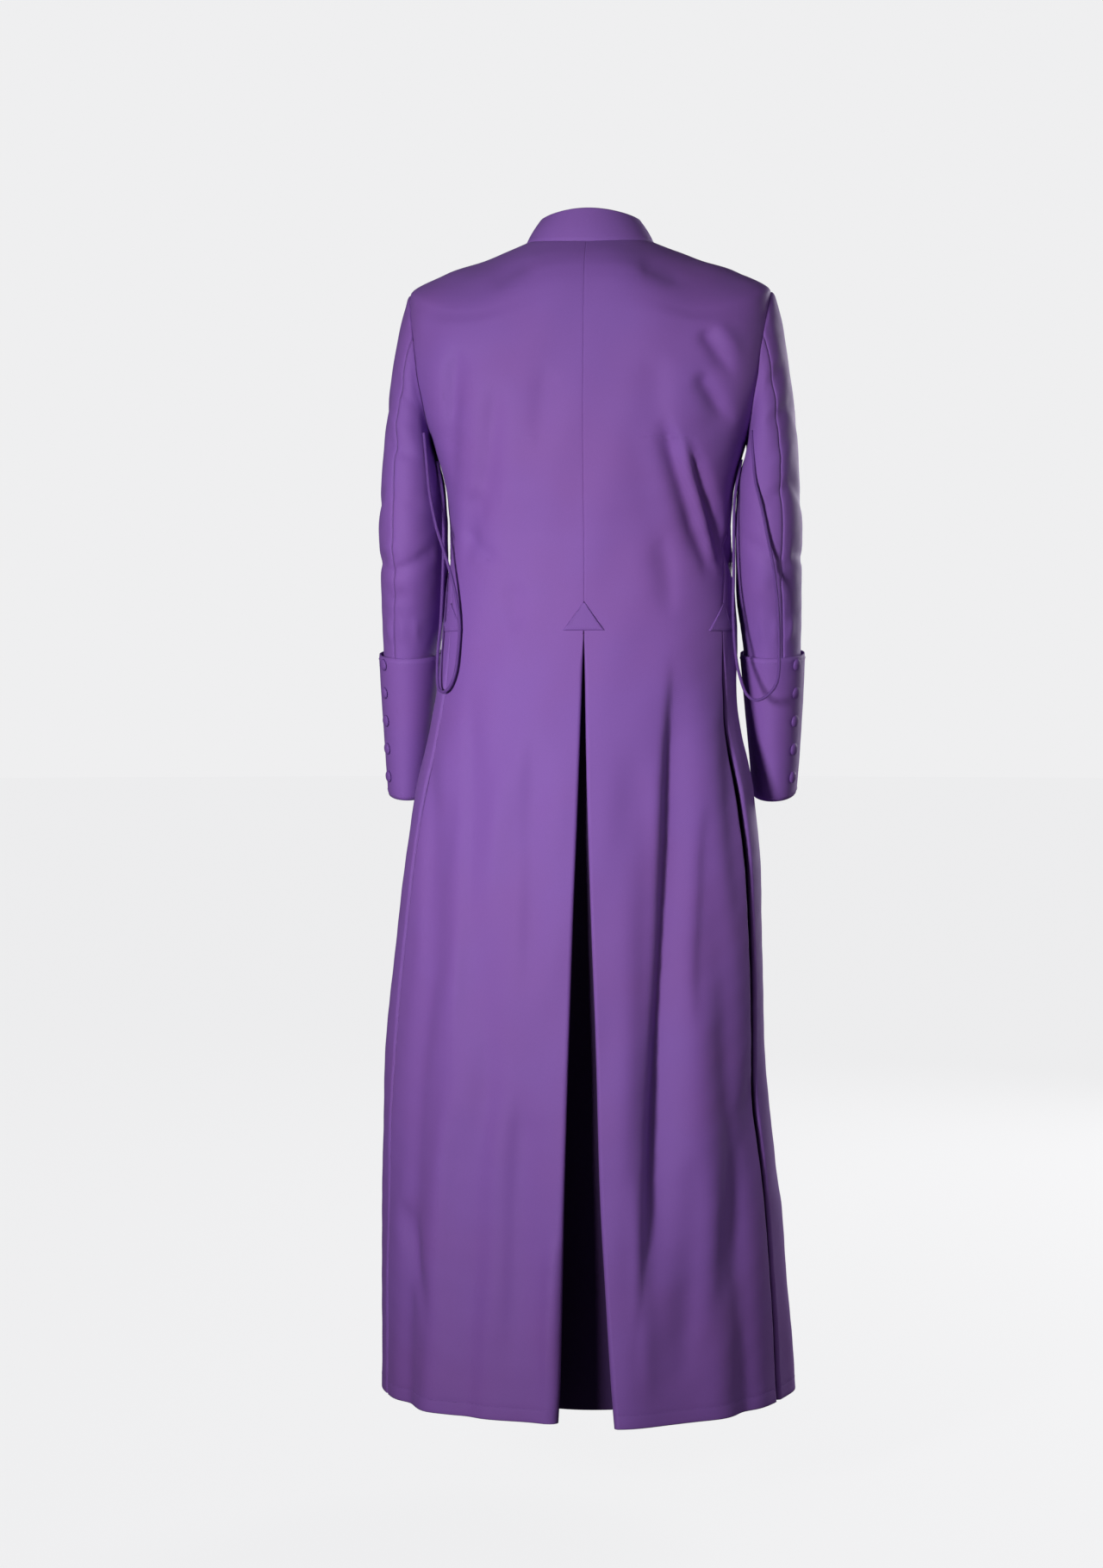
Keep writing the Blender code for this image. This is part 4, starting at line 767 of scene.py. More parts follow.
def panel_columns(start, end, crowd_start):
    """How far across a panel each column lies, with a narrow column beside each seam."""
    u = numpy.linspace(0.0, 1.0, PANEL_COLUMNS - 1)[None, :] * numpy.ones((len(LEVELS), 1))
    width = numpy.linalg.norm(body_point(LEVELS, start) - body_point(LEVELS, end), axis=-1)
    flank = (SEAM_FLANK / width)[:, None]
    parts = [u]
    if crowd_start:
        parts = [u[:, :1], flank, flank + (1.0 - flank) * u[:, 1:]]
    last = parts.pop()
    return numpy.concatenate(parts + [last[:, :-1] * (1.0 - flank), 1.0 - flank, last[:, -1:]], axis=1)


SHARP_RADIUS = 0.0006
OPENING_RUN = 0.05


def opening_radius(level, radius):
    """A pleat's folded edge is pressed sharp at its head, and rounds out below it."""
    return SHARP_RADIUS + (radius - SHARP_RADIUS) * smooth_step((PLEAT_HEAD_LEVEL - level) / OPENING_RUN)


def turned_edge(level, angle, side, gap, radius):
    """The folded edge of a panel at a pleat: a quarter circle inward around its radius."""
    strips = []
    for i in range(EDGE_TURN_COLUMNS + 1):
        turn = 0.5 * math.pi * i / EDGE_TURN_COLUMNS
        across = side * (gap + radius * (1.0 - math.sin(turn)))
        strips.append(cloth_point(level, angle, across, radius * (1.0 - math.cos(turn))))
    return numpy.stack(strips, axis=1)


def seam_dips(points, angle, u, at_start):
    """Press the cloth in along its seams, at the neck, at the hem's stitches and at the hem."""
    dip = numpy.zeros(u.shape)
    if at_start is not None:
        dip[:, 0] += numpy.where(at_start, 0.4 * SEAM_DIP, 0.0)
    dip[:, -1] += numpy.where(skirt, 0.0, SEAM_DIP)
    dip[0, :] += SEAM_DIP
    dip[HEM_STITCH_ROW, :] += 0.5 * SEAM_DIP
    dip[-1, :] += 1.2 * SEAM_DIP
    return points - body_normal(LEVELS[:, None] + 0.0 * u, angle) * dip[..., None]


SIDE_GAP_SHARE = {"left": 0.30, "right": 1.0}
rows = numpy.arange(len(LEVELS))
skirt = rows >= HEAD_ROW
thread = cloth_material("thread", (0.235, 0.110, 0.410), (0.215, 0.095, 0.380), on_surface=False)


def side_pleat_edge(word, half):
    """Half the gap of a side pleat, and the radius of its folded edge."""
    gap = table_value(PLEAT_COLUMNS, SIDE_PLEAT, "gap_" + half, LEVELS) * SIDE_GAP_SHARE[word]
    return gap, opening_radius(LEVELS, table_value(PLEAT_COLUMNS, SIDE_PLEAT, "edge_" + half, LEVELS))


# Backs: two panels joined by the centre-back seam down to the pleat head. Below it each has a folded
# pleat edge at the centre and at the side, and all are hemmed with a turned-up edge.
body_cloth = cloth_material("body_cloth", BODY_PURPLE, BODY_PATCH)
back_end = outer_angle(front=False)
for word, side in (("left", 1.0), ("right", -1.0)):
    gap = table_value(PLEAT_COLUMNS, BACK_PLEAT, "gap_" + word, LEVELS)
    radius = opening_radius(LEVELS, table_value(PLEAT_COLUMNS, BACK_PLEAT, "edge_" + word, LEVELS))
    side_gap, side_radius = side_pleat_edge(word, "left")
    u = panel_columns(0.0 * LEVELS, side * back_end, crowd_start=True)
    start_across = numpy.where(skirt, side * (gap + radius), 0.0)[:, None]
    end_across = numpy.where(skirt, -side * (side_gap + side_radius), 0.0)[:, None]
    angle = side * back_end[:, None] * u
    across = start_across * (1.0 - u) ** 4 + end_across * u ** 4
    points = cloth_point(LEVELS[:, None] + 0.0 * u, angle, across)
    points = seam_dips(points, angle, u, at_start=~skirt)
    centre_turn = turned_edge(LEVELS, 0.0 * LEVELS, side, gap, radius)[:, 1:]
    side_turn = turned_edge(LEVELS, side * back_end, -side, side_gap, side_radius)[:, 1:]
    points = numpy.concatenate((centre_turn[:, ::-1], points, side_turn), axis=1)
    last = points.shape[1] - 1 - EDGE_TURN_COLUMNS
    mesh = lay_cloth(points, body_outward, grain=EDGE_TURN_COLUMNS,
                     drop_faces=lambda row, column: row < HEAD_ROW and not EDGE_TURN_COLUMNS < column < last)
    hem = sew_hem("back_%s_hem" % word, points, slice(2, -2))
    finish_cloth("back_" + word, mesh, body_cloth)


# Fronts: the left panel laps over the right, which steps in beneath it. The edge is pressed flat.
FRONT_LAP = 0.019
LAP_STEP_START = 0.0215
LAP_STEP_END = 0.032
LAP_DEPTH = 0.0027
LAP_EDGE_WIDTH = 0.0008
LAP_COLUMNS = 12
front_end = numpy.where(skirt, back_end, outer_angle(front=True))
for word, side in (("left", 1.0), ("right", -1.0)):
    side_gap, side_radius = side_pleat_edge(word, "right")
    u = panel_columns(0.0 * LEVELS + math.pi, side * front_end, crowd_start=False)
    end_across = numpy.where(skirt, side * (side_gap + side_radius), 0.0)[:, None]
    across = end_across * u ** 4 - side * LAP_STEP_END * (1.0 - u) ** 3
    angle = side * math.pi + (side * front_end[:, None] - side * math.pi) * u
    lap = numpy.concatenate(([FRONT_LAP],
                             numpy.linspace(FRONT_LAP - LAP_EDGE_WIDTH, -LAP_STEP_END, LAP_COLUMNS)[:-1]))
    lap_across = side * lap[None, :] * numpy.ones((len(LEVELS), 1))
    stepped = smooth_step((-lap - LAP_STEP_START) / (LAP_STEP_END - LAP_STEP_START))
    lap_depth = numpy.where(side < 0, LAP_DEPTH * (1.0 - stepped), 0.0)
    across = numpy.concatenate((lap_across, across), axis=1)
    angle = numpy.concatenate((side * math.pi + 0.0 * lap_across, angle), axis=1)
    depth = numpy.concatenate((lap_depth[None, :] + 0.0 * lap_across, 0.0 * u), axis=1)
    points = cloth_point(LEVELS[:, None] + 0.0 * across, angle, across, depth)
    points = seam_dips(points, angle, across, at_start=None)
    side_turn = turned_edge(LEVELS, side * front_end, side, side_gap, side_radius)[:, 1:]
    points = numpy.concatenate((points, side_turn), axis=1)
    last = points.shape[1] - 1 - EDGE_TURN_COLUMNS
    mesh = lay_cloth(points, body_outward, drop_faces=lambda row, column: row < HEAD_ROW and column > last)
    hem = sew_hem("front_%s_hem" % word, points, slice(None, -2))
    finish_cloth("front_" + word, mesh, body_cloth)


# Pleat underlays: the cloth that folds back inside each inverted pleat. It shows only as a deep shadow,
# so its colour is painted shade, much darker than the body's cloth, which it is cut from.
INNER_FOLD_RADIUS = 0.0020
UNDERLAY_START = 0.0003
pleat_painted_shade = cloth_material("pleat_painted_shade", (0.060, 0.024, 0.112), (0.055, 0.020, 0.095), sheen=0.0)


def pleat_half(gap, radius, reach, depth):
    """The underlay from a panel's turned edge, out to its inner fold and back to the middle."""
    start = radius + UNDERLAY_START
    strips = []
    for i in range(EDGE_TURN_COLUMNS + 1):
        turn = 0.5 * math.pi * i / EDGE_TURN_COLUMNS
        strips.append((gap + radius * (1.0 - math.cos(turn)), start + radius * math.sin(turn)))
    outer = strips[-1]
    inner_start = depth - 2.0 * INNER_FOLD_RADIUS
    for share in (0.2, 0.4, 0.6, 0.8, 1.0):
        strips.append((outer[0] + (reach - outer[0]) * share, outer[1] + (inner_start - outer[1]) * share))
    for i in range(1, 5):
        turn = math.pi * i / 4
        strips.append((reach + INNER_FOLD_RADIUS * math.sin(turn),
                       depth - INNER_FOLD_RADIUS * (1.0 + math.cos(turn))))
    for share in (0.8, 0.6, 0.4, 0.2, 0.0):
        strips.append((reach * share, depth + 0.0 * reach))
    return strips


def underlay(node, table, angle, seen_from, gap_share=1.0):
    level = LEVELS[skirt]
    size = {key: table_value(PLEAT_COLUMNS, table, key, level) for key in PLEAT_COLUMNS[1:]}
    left, right = [pleat_half(size["gap_" + half] * gap_share, opening_radius(level, size["edge_" + half]),
                              size["reach"], size["depth"]) for half in ("left", "right")]
    strips = left + [(-across, depth) for across, depth in reversed(right[:-1])]
    across = numpy.stack([strip[0] for strip in strips], axis=1)
    depth = numpy.stack([strip[1] for strip in strips], axis=1)
    points = cloth_point(level[:, None] + 0.0 * across, angle + 0.0 * across, across, depth)
    middle = len(left) - 1
    mesh = lay_cloth(points, lambda place: (0.0, 0.0, 0.0), grain=middle)
    spot = Vector(points[len(level) // 2, middle])
    centre_face = min(mesh.faces, key=lambda face: (face.calc_center_median() - spot).length)
    if centre_face.normal.dot(Vector(seen_from)) < 0.0:
        bmesh.ops.reverse_faces(mesh, faces=mesh.faces)
    finish_cloth(node, mesh, pleat_painted_shade)


underlay("back_pleat", BACK_PLEAT, 0.0, (0.0, 1.0, 0.0))
for word, side in (("left", 1.0), ("right", -1.0)):
    underlay("side_pleat_" + word, SIDE_PLEAT, side * SIDE_SEAM_ANGLE, (side, 0.5, 0.0), SIDE_GAP_SHARE[word])


# Collar: a plain stand collar of two cloth layers, seamed to the neck, leaning in to its pressed top
# edge, with a narrow slit at centre front. Its first row is tucked under the neck seam.
COLLAR_TOP = dict(level=0.0337, back_rise=0.0076, front_drop=-0.080, half_width=0.0600, back_y=0.052,
                  side_y=-0.003, front_y=-0.064, squareness=2.0, left_extra=0.0, shoulder_dip=0.0)
COLLAR_HALF_SLIT = 0.004
COLLAR_ROWS = (-0.11, 0.0, 0.02, 0.14, 0.28, 0.42, 0.56, 0.70, 0.84, 0.95, 0.985, 1.0)
COLLAR_COLUMNS = 120
COLLAR_BULGE = 0.0012
COLLAR_TUCK = 0.0035
COLLAR_EDGE_DIP = 0.0005
COLLAR_THICKNESS = 0.0020
neck = {name: float(table_value(BODY_COLUMNS, BODY_SECTIONS, name, numpy.array(NECK_LEVEL)))
        for name in BODY_COLUMNS[1:]}
slit_angle = COLLAR_HALF_SLIT / (neck["side_y"] - neck["front_y"])
angles = numpy.linspace(-math.pi + slit_angle, math.pi - slit_angle, COLLAR_COLUMNS)
outward = numpy.stack((numpy.sin(angles), numpy.cos(angles), 0.0 * angles), axis=-1)
lines = []
for share in COLLAR_ROWS:
    section = {key: neck[key] + (COLLAR_TOP[key] - neck[key]) * share for key in neck}
    height = NECK_LEVEL + (COLLAR_TOP["level"] - NECK_LEVEL) * share
    bulge = COLLAR_BULGE * math.sin(math.pi * max(0.0, share))
    dip = COLLAR_TUCK if share < 0.0 else {0.0: SEAM_DIP, 1.0: COLLAR_EDGE_DIP}.get(share, 0.0)
    lines.append(section_point(section, height + 0.0 * angles, angles) + outward * (bulge - dip))
mesh = lay_cloth(numpy.stack(lines, axis=0), lambda place: (place.x, place.y, 0.0), grain=COLLAR_COLUMNS // 2)
collar_cloth = cloth_material("collar_cloth", (0.222, 0.098, 0.395), (0.225, 0.092, 0.360))
finish_cloth("collar", mesh, collar_cloth, thickness=COLLAR_THICKNESS)


# Sleeves: each is cut in two, upper and under, with a back seam and a front seam, and is eased into the
# armhole. They hang straight with a bend at the elbow, and break into small creases under the arm.
SLEEVE_COLUMNS = ("outer_z", "inner_z", "outer_x", "inner_x", "middle_y", "half_depth", "back_drop",
                  "left_swing")
SLEEVE_SECTIONS = (
    (-0.3, -0.285, 0.2535, 0.1785, 0.0, 0.067, 0.0, 0.0),
    (-0.335, -0.328, 0.255, 0.1785, 0.0, 0.066, 0.0, 0.0),
    (-0.37, -0.368, 0.2545, 0.1785, -0.002, 0.0645, 0.0, 0.0),
    (-0.4, -0.4, 0.254, 0.179, -0.009, 0.0625, -0.002, 0.0005),
    (-0.44, -0.44, 0.2545, 0.181, -0.027, 0.0595, -0.005, 0.0015),
    (-0.485, -0.485, 0.2535, 0.185, -0.043, 0.0565, -0.007, 0.003),
    (-0.53, -0.53, 0.2525, 0.188, -0.055, 0.0545, -0.008, 0.004),
    (-0.575, -0.575, 0.2508, 0.191, -0.065, 0.053, -0.009, 0.005),
    (-0.62, -0.621, 0.249, 0.1945, -0.074, 0.0515, -0.01, 0.006),
    (-0.655, -0.657, 0.247, 0.197, -0.08, 0.0505, -0.01, 0.007),
)
SLEEVE_SIDES = 2 * ARMHOLE_ROWS
CAD_SLEEVE_SIDES = 16
BACK_SEAM_COLUMN = 3 * SLEEVE_SIDES // CAD_SLEEVE_SIDES
FRONT_SEAM_COLUMN = 11 * SLEEVE_SIDES // CAD_SLEEVE_SIDES
CUFF_TOP_SECTION = 5
CAP_LIFT = 0.016
CAP_OUTWARD = (0.55, 0.45)
CAP_BACKWARD = 0.35
CAP_DROP = (0.35, 0.60)
CAP_ARRIVAL = 0.38
CAP_ROWS = 46
ARM_ROWS_PER_SECTION = 8
CAP_TUCK = 0.0040
CAP_ROLL = 0.0012
CAP_RIPPLE = 0.0005
CAP_RIPPLES = 19.0
ROLL_ROW = 4.0
ROLL_ROWS = 3.0
CALM_START_ROW = 2.0
CALM_ROWS = 7.0
CUFF_LIFT = 0.0023
CUFF_FLARE = 0.0030
CUFF_WAVE = 0.0006
CUFF_EDGE_DIP = 0.0007
CUFF_THICKNESS = 0.0019

SLEEVE_CREASES = {
    "left_inside": (
        (((-18, -250), (-25, -340), (-35, -410), (-52, -478)), 28, 28, 4.6),
    ),
    "right_inside": (
        (((-18, -250), (-25, -340), (-35, -410), (-52, -478)), 28, 28, 5),
    ),
    "back": (
        (((236, -150), (220, -176), (200, -196)), 7, 10, -2.6),
        (((245, -228), (226, -244), (196, -256)), 7, 11, -3),
        (((242, -195), (224, -216), (204, -228)), 6, 9, 1.6),
        (((238, -290), (215, -306), (190, -310)), 7, 11, -2),
        (((183, -352), (200, -374), (226, -386), (250, -388)), 6, 10, -3.2),
        (((250, -350), (230, -362), (206, -356)), 7, 10, 1.8),
        (((246, -425), (230, -418), (208, -428)), 8, 11, -2),
        (((242, -440), (240, -458), (239, -476)), 4, 5, 1.2),
        (((226, -444), (225, -460), (225, -477)), 4, 5, 1.3),
        (((208, -442), (209, -458), (208, -476)), 4, 5, 1.2),
        (((-234, -135), (-220, -166), (-201, -185)), 7, 10, -2.6),
        (((-244, -180), (-228, -206), (-206, -218)), 7, 11, -2.6),
        (((-246, -230), (-233, -252), (-212, -264)), 6, 10, 1.8),
        (((-250, -270), (-229, -298), (-200, -306)), 7, 11, -2.8),
        (((-183, -340), (-202, -364), (-229, -379), (-250, -380)), 6, 11, -2.8),
        (((-247, -410), (-228, -406), (-206, -418)), 8, 11, -2),
        (((-243, -440), (-241, -459), (-240, -476)), 4, 5, 1.2),
        (((-225, -443), (-224, -460), (-224, -477)), 4, 5, 1.4),
        (((-206, -440), (-208, -458), (-208, -476)), 4, 5, 1.1),
    ),
    "front": (
        (((236, -160), (218, -186), (198, -204)), 7, 10, -2.6),
        (((244, -235), (222, -256), (196, -264)), 7, 11, -2.8),
        (((185, -360), (208, -378), (238, -372)), 7, 10, -3.4),
        (((186, -390), (210, -403), (240, -396)), 6, 10, -2.8),
        (((188, -332), (210, -342), (236, -332)), 7, 10, -2.2),
        (((-236, -150), (-217, -180), (-198, -196)), 7, 10, -2.6),
        (((-245, -245), (-223, -262), (-196, -268)), 7, 11, -2.8),
        (((-185, -368), (-208, -384), (-238, -379)), 7, 10, -3.4),
        (((-186, -398), (-210, -410), (-240, -401)), 6, 10, -2.6),
        (((-188, -338), (-210, -348), (-236, -340)), 7, 10, -2),
    ),
    "left": (
        (((40, -170), (15, -200), (-20, -212)), 8, 12, -1.8),
        (((50, -280), (20, -308), (-20, -316)), 8, 12, -2),
        (((50, -384), (20, -376), (-30, -390)), 7, 11, -2.6),
        (((-70, -355), (-40, -370), (-5, -370)), 6, 10, -2.6),
        (((15, -445), (12, -460), (10, -477)), 4, 5, 1.2),
        (((-55, -443), (-58, -460), (-60, -477)), 4, 5, 1.3),
    ),
    "right": (
        (((40, -180), (15, -206), (-20, -220)), 8, 12, -1.8),
        (((50, -270), (20, -300), (-20, -308)), 8, 12, -2.2),
        (((50, -378), (20, -370), (-30, -382)), 7, 11, -2.6),
        (((-70, -348), (-40, -362), (-5, -364)), 6, 10, -2.4),
        (((15, -445), (12, -460), (10, -477)), 4, 5, 1.2),
        (((-55, -443), (-58, -460), (-60, -477)), 4, 5, 1.3),
    ),
}


def sleeve_ring(place, side):
    """The points round a sleeve at a place down its sections: column 0 outermost, then round by the back."""
    turn = numpy.arange(SLEEVE_SIDES) * 2.0 * math.pi / SLEEVE_SIDES
    outward, backward = numpy.cos(turn), numpy.sin(turn)
    spots = numpy.arange(len(SLEEVE_SECTIONS), dtype=float)
    table = [(-spot,) + row for spot, row in zip(spots, SLEEVE_SECTIONS)]
    size = {name: float(table_value(("place",) + SLEEVE_COLUMNS, table, name, numpy.array(-place)))
            for name in SLEEVE_COLUMNS}
    share = 0.5 * (1.0 + outward)
    x = size["inner_x"] + (size["outer_x"] - size["inner_x"]) * share
    z = size["inner_z"] + (size["outer_z"] - size["inner_z"]) * share
    x = x + (size["left_swing"] if side > 0 else 0.0)
    return numpy.stack((side * x, size["middle_y"] + size["half_depth"] * backward,
                        z + size["back_drop"] * backward), axis=-1)


def armhole_ring(side):
    """The armhole's edge on the body, in the order of the sleeve's columns."""
    back, front = outer_angle(front=False), outer_angle(front=True)
    columns = numpy.arange(SLEEVE_SIDES)
    in_front = columns > ARMHOLE_ROWS
    line = TIP_ROW + numpy.where(in_front, SLEEVE_SIDES - columns, columns)
    angle = side * numpy.where(in_front, front[line], back[line])
    return cloth_point(LEVELS[line], angle)


def sleeve_rings(side):
    """All rings of a sleeve. The cap leaves the armhole outward and arrives along the arm."""
    turn = numpy.arange(SLEEVE_SIDES) * 2.0 * math.pi / SLEEVE_SIDES
    start = armhole_ring(side)
    below = [sleeve_ring(0.0, side), sleeve_ring(1.0, side)]
    outward = CAP_OUTWARD[0] + CAP_OUTWARD[1] * numpy.cos(turn)
    drop = CAP_DROP[0] + CAP_DROP[1] * numpy.cos(turn) ** 2
    leave = numpy.stack((side * outward, CAP_BACKWARD * numpy.sin(turn), -drop), axis=-1) * CAP_LIFT
    run = numpy.linalg.norm(below[0] - start, axis=-1, keepdims=True)
    arrive = unit(below[0] - below[1]) * run * CAP_ARRIVAL
    rings = [start - unit(leave) * CAP_TUCK]
    for t in [0.0, 0.006] + list(numpy.linspace(0.0, 1.0, CAP_ROWS)[1:-1]):
        rings.append(start * (1 - t) ** 3 + (start + leave) * 3 * t * (1 - t) ** 2
                     + (below[0] + arrive) * 3 * t * t * (1 - t) + below[0] * t ** 3)
    count = ARM_ROWS_PER_SECTION * (len(SLEEVE_SECTIONS) - 1)
    rings += [sleeve_ring(k / ARM_ROWS_PER_SECTION, side) for k in range(count + 1)]
    return numpy.stack(rings, axis=0)


def ring_normals(rings, side):
    """The outward direction at every point of a stack of rings."""
    down = numpy.gradient(rings, axis=0)
    around = numpy.roll(rings, -1, axis=1) - numpy.roll(rings, 1, axis=1)
    return unit(numpy.cross(down, around)) * side


def outward_of(core):
    """Tells which way is outward round a sleeve's middle line."""
    def outward(place):
        middle = core[numpy.abs(core[:, 2] - place.z).argmin()]
        return (place.x - middle[0], place.y - middle[1], 0.0)
    return outward


sleeve_cloth = cloth_material("sleeve_cloth", (0.205, 0.088, 0.372), (0.215, 0.084, 0.340))
turn = numpy.arange(SLEEVE_SIDES)[None, :] * 2.0 * math.pi / SLEEVE_SIDES
halves = {"upper": list(range(FRONT_SEAM_COLUMN, SLEEVE_SIDES)) + list(range(BACK_SEAM_COLUMN + 1)),
          "under": list(range(BACK_SEAM_COLUMN, FRONT_SEAM_COLUMN + 1))}
for word, side in (("left", 1.0), ("right", -1.0)):
    rings = sleeve_rings(side)
    normals = ring_normals(rings, side)
    row = numpy.arange(len(rings))[:, None]
    calm = smooth_step((row - CALM_START_ROW) / CALM_ROWS)
    ease = numpy.exp(-((row - ROLL_ROW) / ROLL_ROWS) ** 2)
    ripple = CAP_ROLL + CAP_RIPPLE * numpy.sin(CAP_RIPPLES * turn)
    roll = ease * numpy.maximum(0.0, numpy.cos(turn)) * ripple
    lift = (SLEEVE_CREASE_DEPTH * crease_lift(rings, normals, SLEEVE_CREASES) + waver(rings)) * calm + roll
    dip = numpy.zeros(lift.shape)
    dip[(1, -1), :] = SEAM_DIP
    dip[:, (BACK_SEAM_COLUMN, FRONT_SEAM_COLUMN)] += 1.8 * SEAM_DIP
    points = rings + normals * (lift - dip)[..., None]
    outward = outward_of(rings.mean(axis=1))
    for half, columns in halves.items():
        mesh = lay_cloth(points[:, columns], outward, grain=len(columns) // 2)
        finish_cloth("sleeve_%s_%s" % (half, word), mesh, sleeve_cloth)

    # Cuff: a deep gauntlet of doubled cloth, turned back over the sleeve's end, standing a little proud
    # at its top edge, and closed beside the buttons with one seam.
    first = len(rings) - 1 - ARM_ROWS_PER_SECTION * (len(SLEEVE_SECTIONS) - 1 - CUFF_TOP_SECTION)
    band, band_normals = rings[first:], normals[first:]
    up = 1.0 - numpy.linspace(0.0, 1.0, len(band))[:, None]
    out = CUFF_LIFT + CUFF_FLARE * up + CUFF_WAVE * numpy.sin(turn * 3.0 + 0.7) * up + 0.5 * waver(band)
    out[(0, -1), :] -= CUFF_EDGE_DIP
    out[:, SLEEVE_SIDES // CAD_SLEEVE_SIDES] -= SEAM_DIP
    points = band + band_normals * out[..., None]
    points, band_normals = [numpy.concatenate((grid, grid[:, :1]), axis=1) for grid in (points, band_normals)]
    lines = [(points[place] + STITCH_LIFT * band_normals[place], band_normals[place])
             for place in (1, len(band) - 2)]
    stitches = sew("cuff_%s_stitches" % word, lines, thread, spacing=0.0034, length=0.0023)
    mesh = lay_cloth(points, outward, closed=True)
    finish_cloth("cuff_" + word, mesh, sleeve_cloth, thickness=CUFF_THICKNESS)


# Buttons: small domes covered in the same cloth, with a gathered rim, five on each cuff and a long row
# down the front, where each passes through a worked hole.
BUTTON_PROFILE = ((0.0, 0.0), (5.8, 0.0), (6.8, 0.3), (7.25, 1.0), (7.2, 1.6), (6.6, 2.5), (5.4, 3.3),
                  (3.8, 3.8), (1.9, 4.0), (0.0, 4.05))
BUTTON_SIDES = 28
button_cloth = cloth_material("button_cloth", (0.165, 0.068, 0.305), (0.150, 0.058, 0.262), rib=0.0008,
                              on_surface=False)


def button_seat(node):
    """The middle of a button's flat back, and the way the button faces."""
    mesh = bmesh.new()
    mesh.from_mesh(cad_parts[node].data)
    bmesh.ops.remove_doubles(mesh, verts=mesh.verts, dist=SAME_PLACE)
    bmesh.ops.dissolve_limit(mesh, angle_limit=math.radians(3), verts=mesh.verts, edges=mesh.edges)
    back = max(mesh.faces, key=lambda face: face.calc_area())
    seat, facing = back.calc_center_median().copy(), -back.normal.copy()
    mesh.free()
    return seat, facing


def covered_button(node):
    seat, facing = button_seat(node)
    mesh = bmesh.new()
    line = [mesh.verts.new((MM * radius, 0.0, MM * height)) for radius, height in BUTTON_PROFILE]
    edges = [mesh.edges.new(pair) for pair in zip(line, line[1:])]
    bmesh.ops.spin(mesh, geom=line + edges, axis=(0.0, 0.0, 1.0), cent=(0.0, 0.0, 0.0), angle=2.0 * math.pi,
                   steps=BUTTON_SIDES, use_merge=True)
    bmesh.ops.remove_doubles(mesh, verts=mesh.verts, dist=SAME_PLACE)
    bmesh.ops.recalc_face_normals(mesh, faces=mesh.faces)
    for face in mesh.faces:
        face.smooth = True
    bmesh.ops.transform(mesh, verts=mesh.verts, matrix=Matrix.Translation(seat)
                        @ facing.to_track_quat("Z", "Y").to_matrix().to_4x4())
    as_piece(node + "_covered", mesh, button_cloth, node)


for node in sorted(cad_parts):
    if "button" in node:
        covered_button(node)


# Front closing: each button comes through a hole worked in close purple thread, whose end shows beside
# it, and the left edge is held flat by one row of machine stitches from the neck to the hem.
HOLE_START = 0.0080
HOLE_END = 0.0165
HOLE_HALF_HEIGHT = 0.0007
EDGE_STITCH_INSET = 0.0060
EDGE_STITCH_LIFT = 0.0002
fine_levels = numpy.linspace(NECK_LEVEL, HEM_LEVEL, 600)
centre_front = math.pi + 0.0 * fine_levels
front_heights = cloth_point(fine_levels, centre_front)[:, 2]
hole_lines = []
for node in sorted(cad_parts):
    if "front_button" in node:
        seat, facing = button_seat(node)
        level = float(numpy.interp(-seat.z, -front_heights, fine_levels))
        across = -numpy.linspace(HOLE_START, HOLE_END, 10)
        for rise in (-HOLE_HALF_HEIGHT, HOLE_HALF_HEIGHT):
            height, angle = level + rise + 0.0 * across, math.pi + 0.0 * across
            normals = body_normal(height, angle)
            hole_lines.append((cloth_point(height, angle, across) + STITCH_LIFT * normals, normals))
sew("front_buttonholes", hole_lines, button_cloth, spacing=0.0009, length=0.0012, width=0.0011, height=0.0005)
edge_normals = body_normal(fine_levels, centre_front)
edge_line = cloth_point(fine_levels, centre_front, FRONT_LAP - EDGE_STITCH_INSET + 0.0 * fine_levels)
edge_line += EDGE_STITCH_LIFT * edge_normals
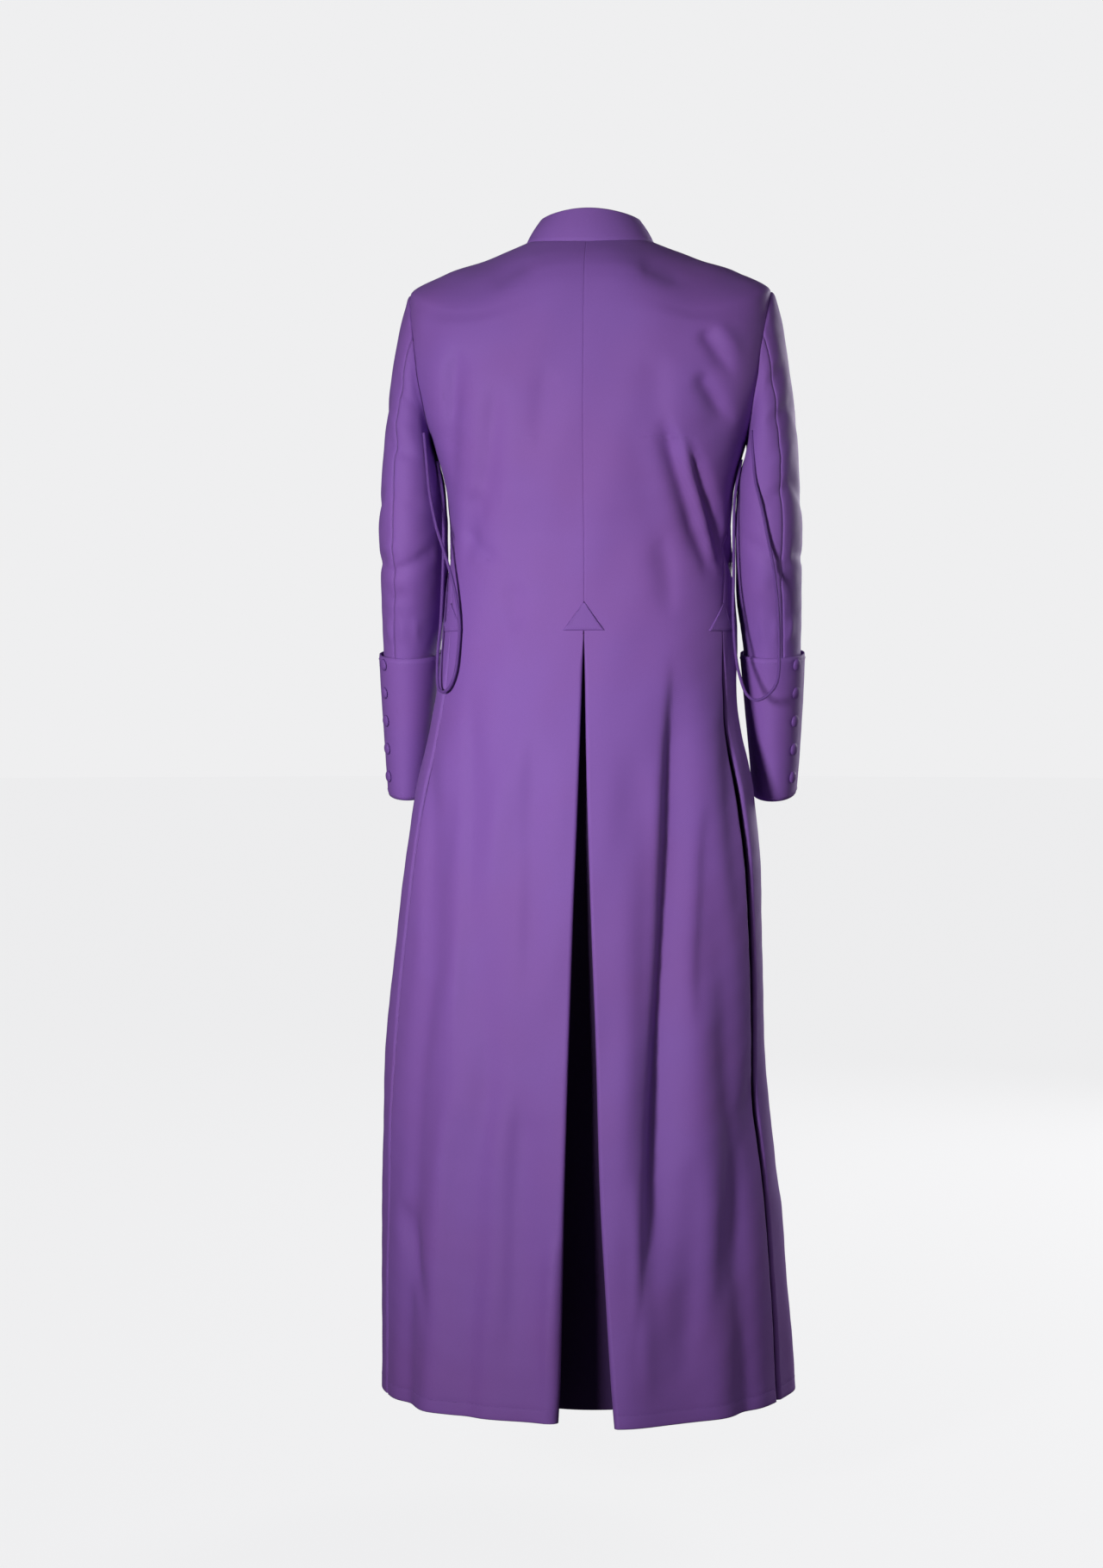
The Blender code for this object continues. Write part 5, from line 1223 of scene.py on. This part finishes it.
sew("front_edge_stitches", [(edge_line[2:-2], edge_normals[2:-2])], thread)


# Pleat tacks: a small triangle of the same cloth sewn flat over each pleat head, edge-stitched.
TACK_HALF_WIDTH = 0.0245
TACK_HEIGHT = 0.034
TACK_APEX_LEVEL = -0.4270
TACK_LIFT = 0.0016
TACK_RIM_WIDTH = 1.6
TACK_ROWS = 16
TACK_COLUMNS = 20
TACK_THICKNESS = 0.0009
FIRST_STITCHED_ROW = 3
tack_cloth = cloth_material("tack_cloth", (0.198, 0.085, 0.360), (0.190, 0.078, 0.330))
share = numpy.linspace(0.0, 1.0, TACK_ROWS)[:, None]
spread = numpy.linspace(-1.0, 1.0, TACK_COLUMNS)[None, :]
level = TACK_APEX_LEVEL - TACK_HEIGHT * share + 0.0 * spread
run = smooth_step((ARMPIT_LEVEL - level) / (ARMPIT_LEVEL - PLEAT_HEAD_LEVEL))
rim = numpy.minimum(numpy.minimum(1.0 - numpy.abs(spread), share), 1.0 - share) * TACK_COLUMNS
lift = -TACK_LIFT * (0.45 + 0.55 * smooth_step(rim / TACK_RIM_WIDTH))
for node, angle in (("tack_back", 0.0), ("tack_left", SIDE_SEAM_ANGLE), ("tack_right", -SIDE_SEAM_ANGLE)):
    middle = numpy.sign(angle) * (0.5 * math.pi + (abs(angle) - 0.5 * math.pi) * run)
    points = cloth_point(level, middle, TACK_HALF_WIDTH * share * spread, lift)
    normals = body_normal(level, middle)
    mesh = lay_cloth(points, body_outward, closed=True)
    lines = []
    for inset in (0.13, 0.24):
        near = numpy.abs(spread[0] + 1.0 - inset).argmin()
        far = numpy.abs(spread[0] - 1.0 + inset).argmin()
        low = numpy.abs(share[:, 0] - 1.0 + 0.5 * inset).argmin()
        down = slice(FIRST_STITCHED_ROW, low + 1)
        for place in ((down, near), (down, far), (low, slice(near, far + 1))):
            lines.append((points[place] + EDGE_STITCH_LIFT * normals[place], normals[place]))
    stitches = sew(node + "_stitches", lines, thread, spacing=0.0028, length=0.0020)
    finish_cloth(node, mesh, tack_cloth, thickness=TACK_THICKNESS)
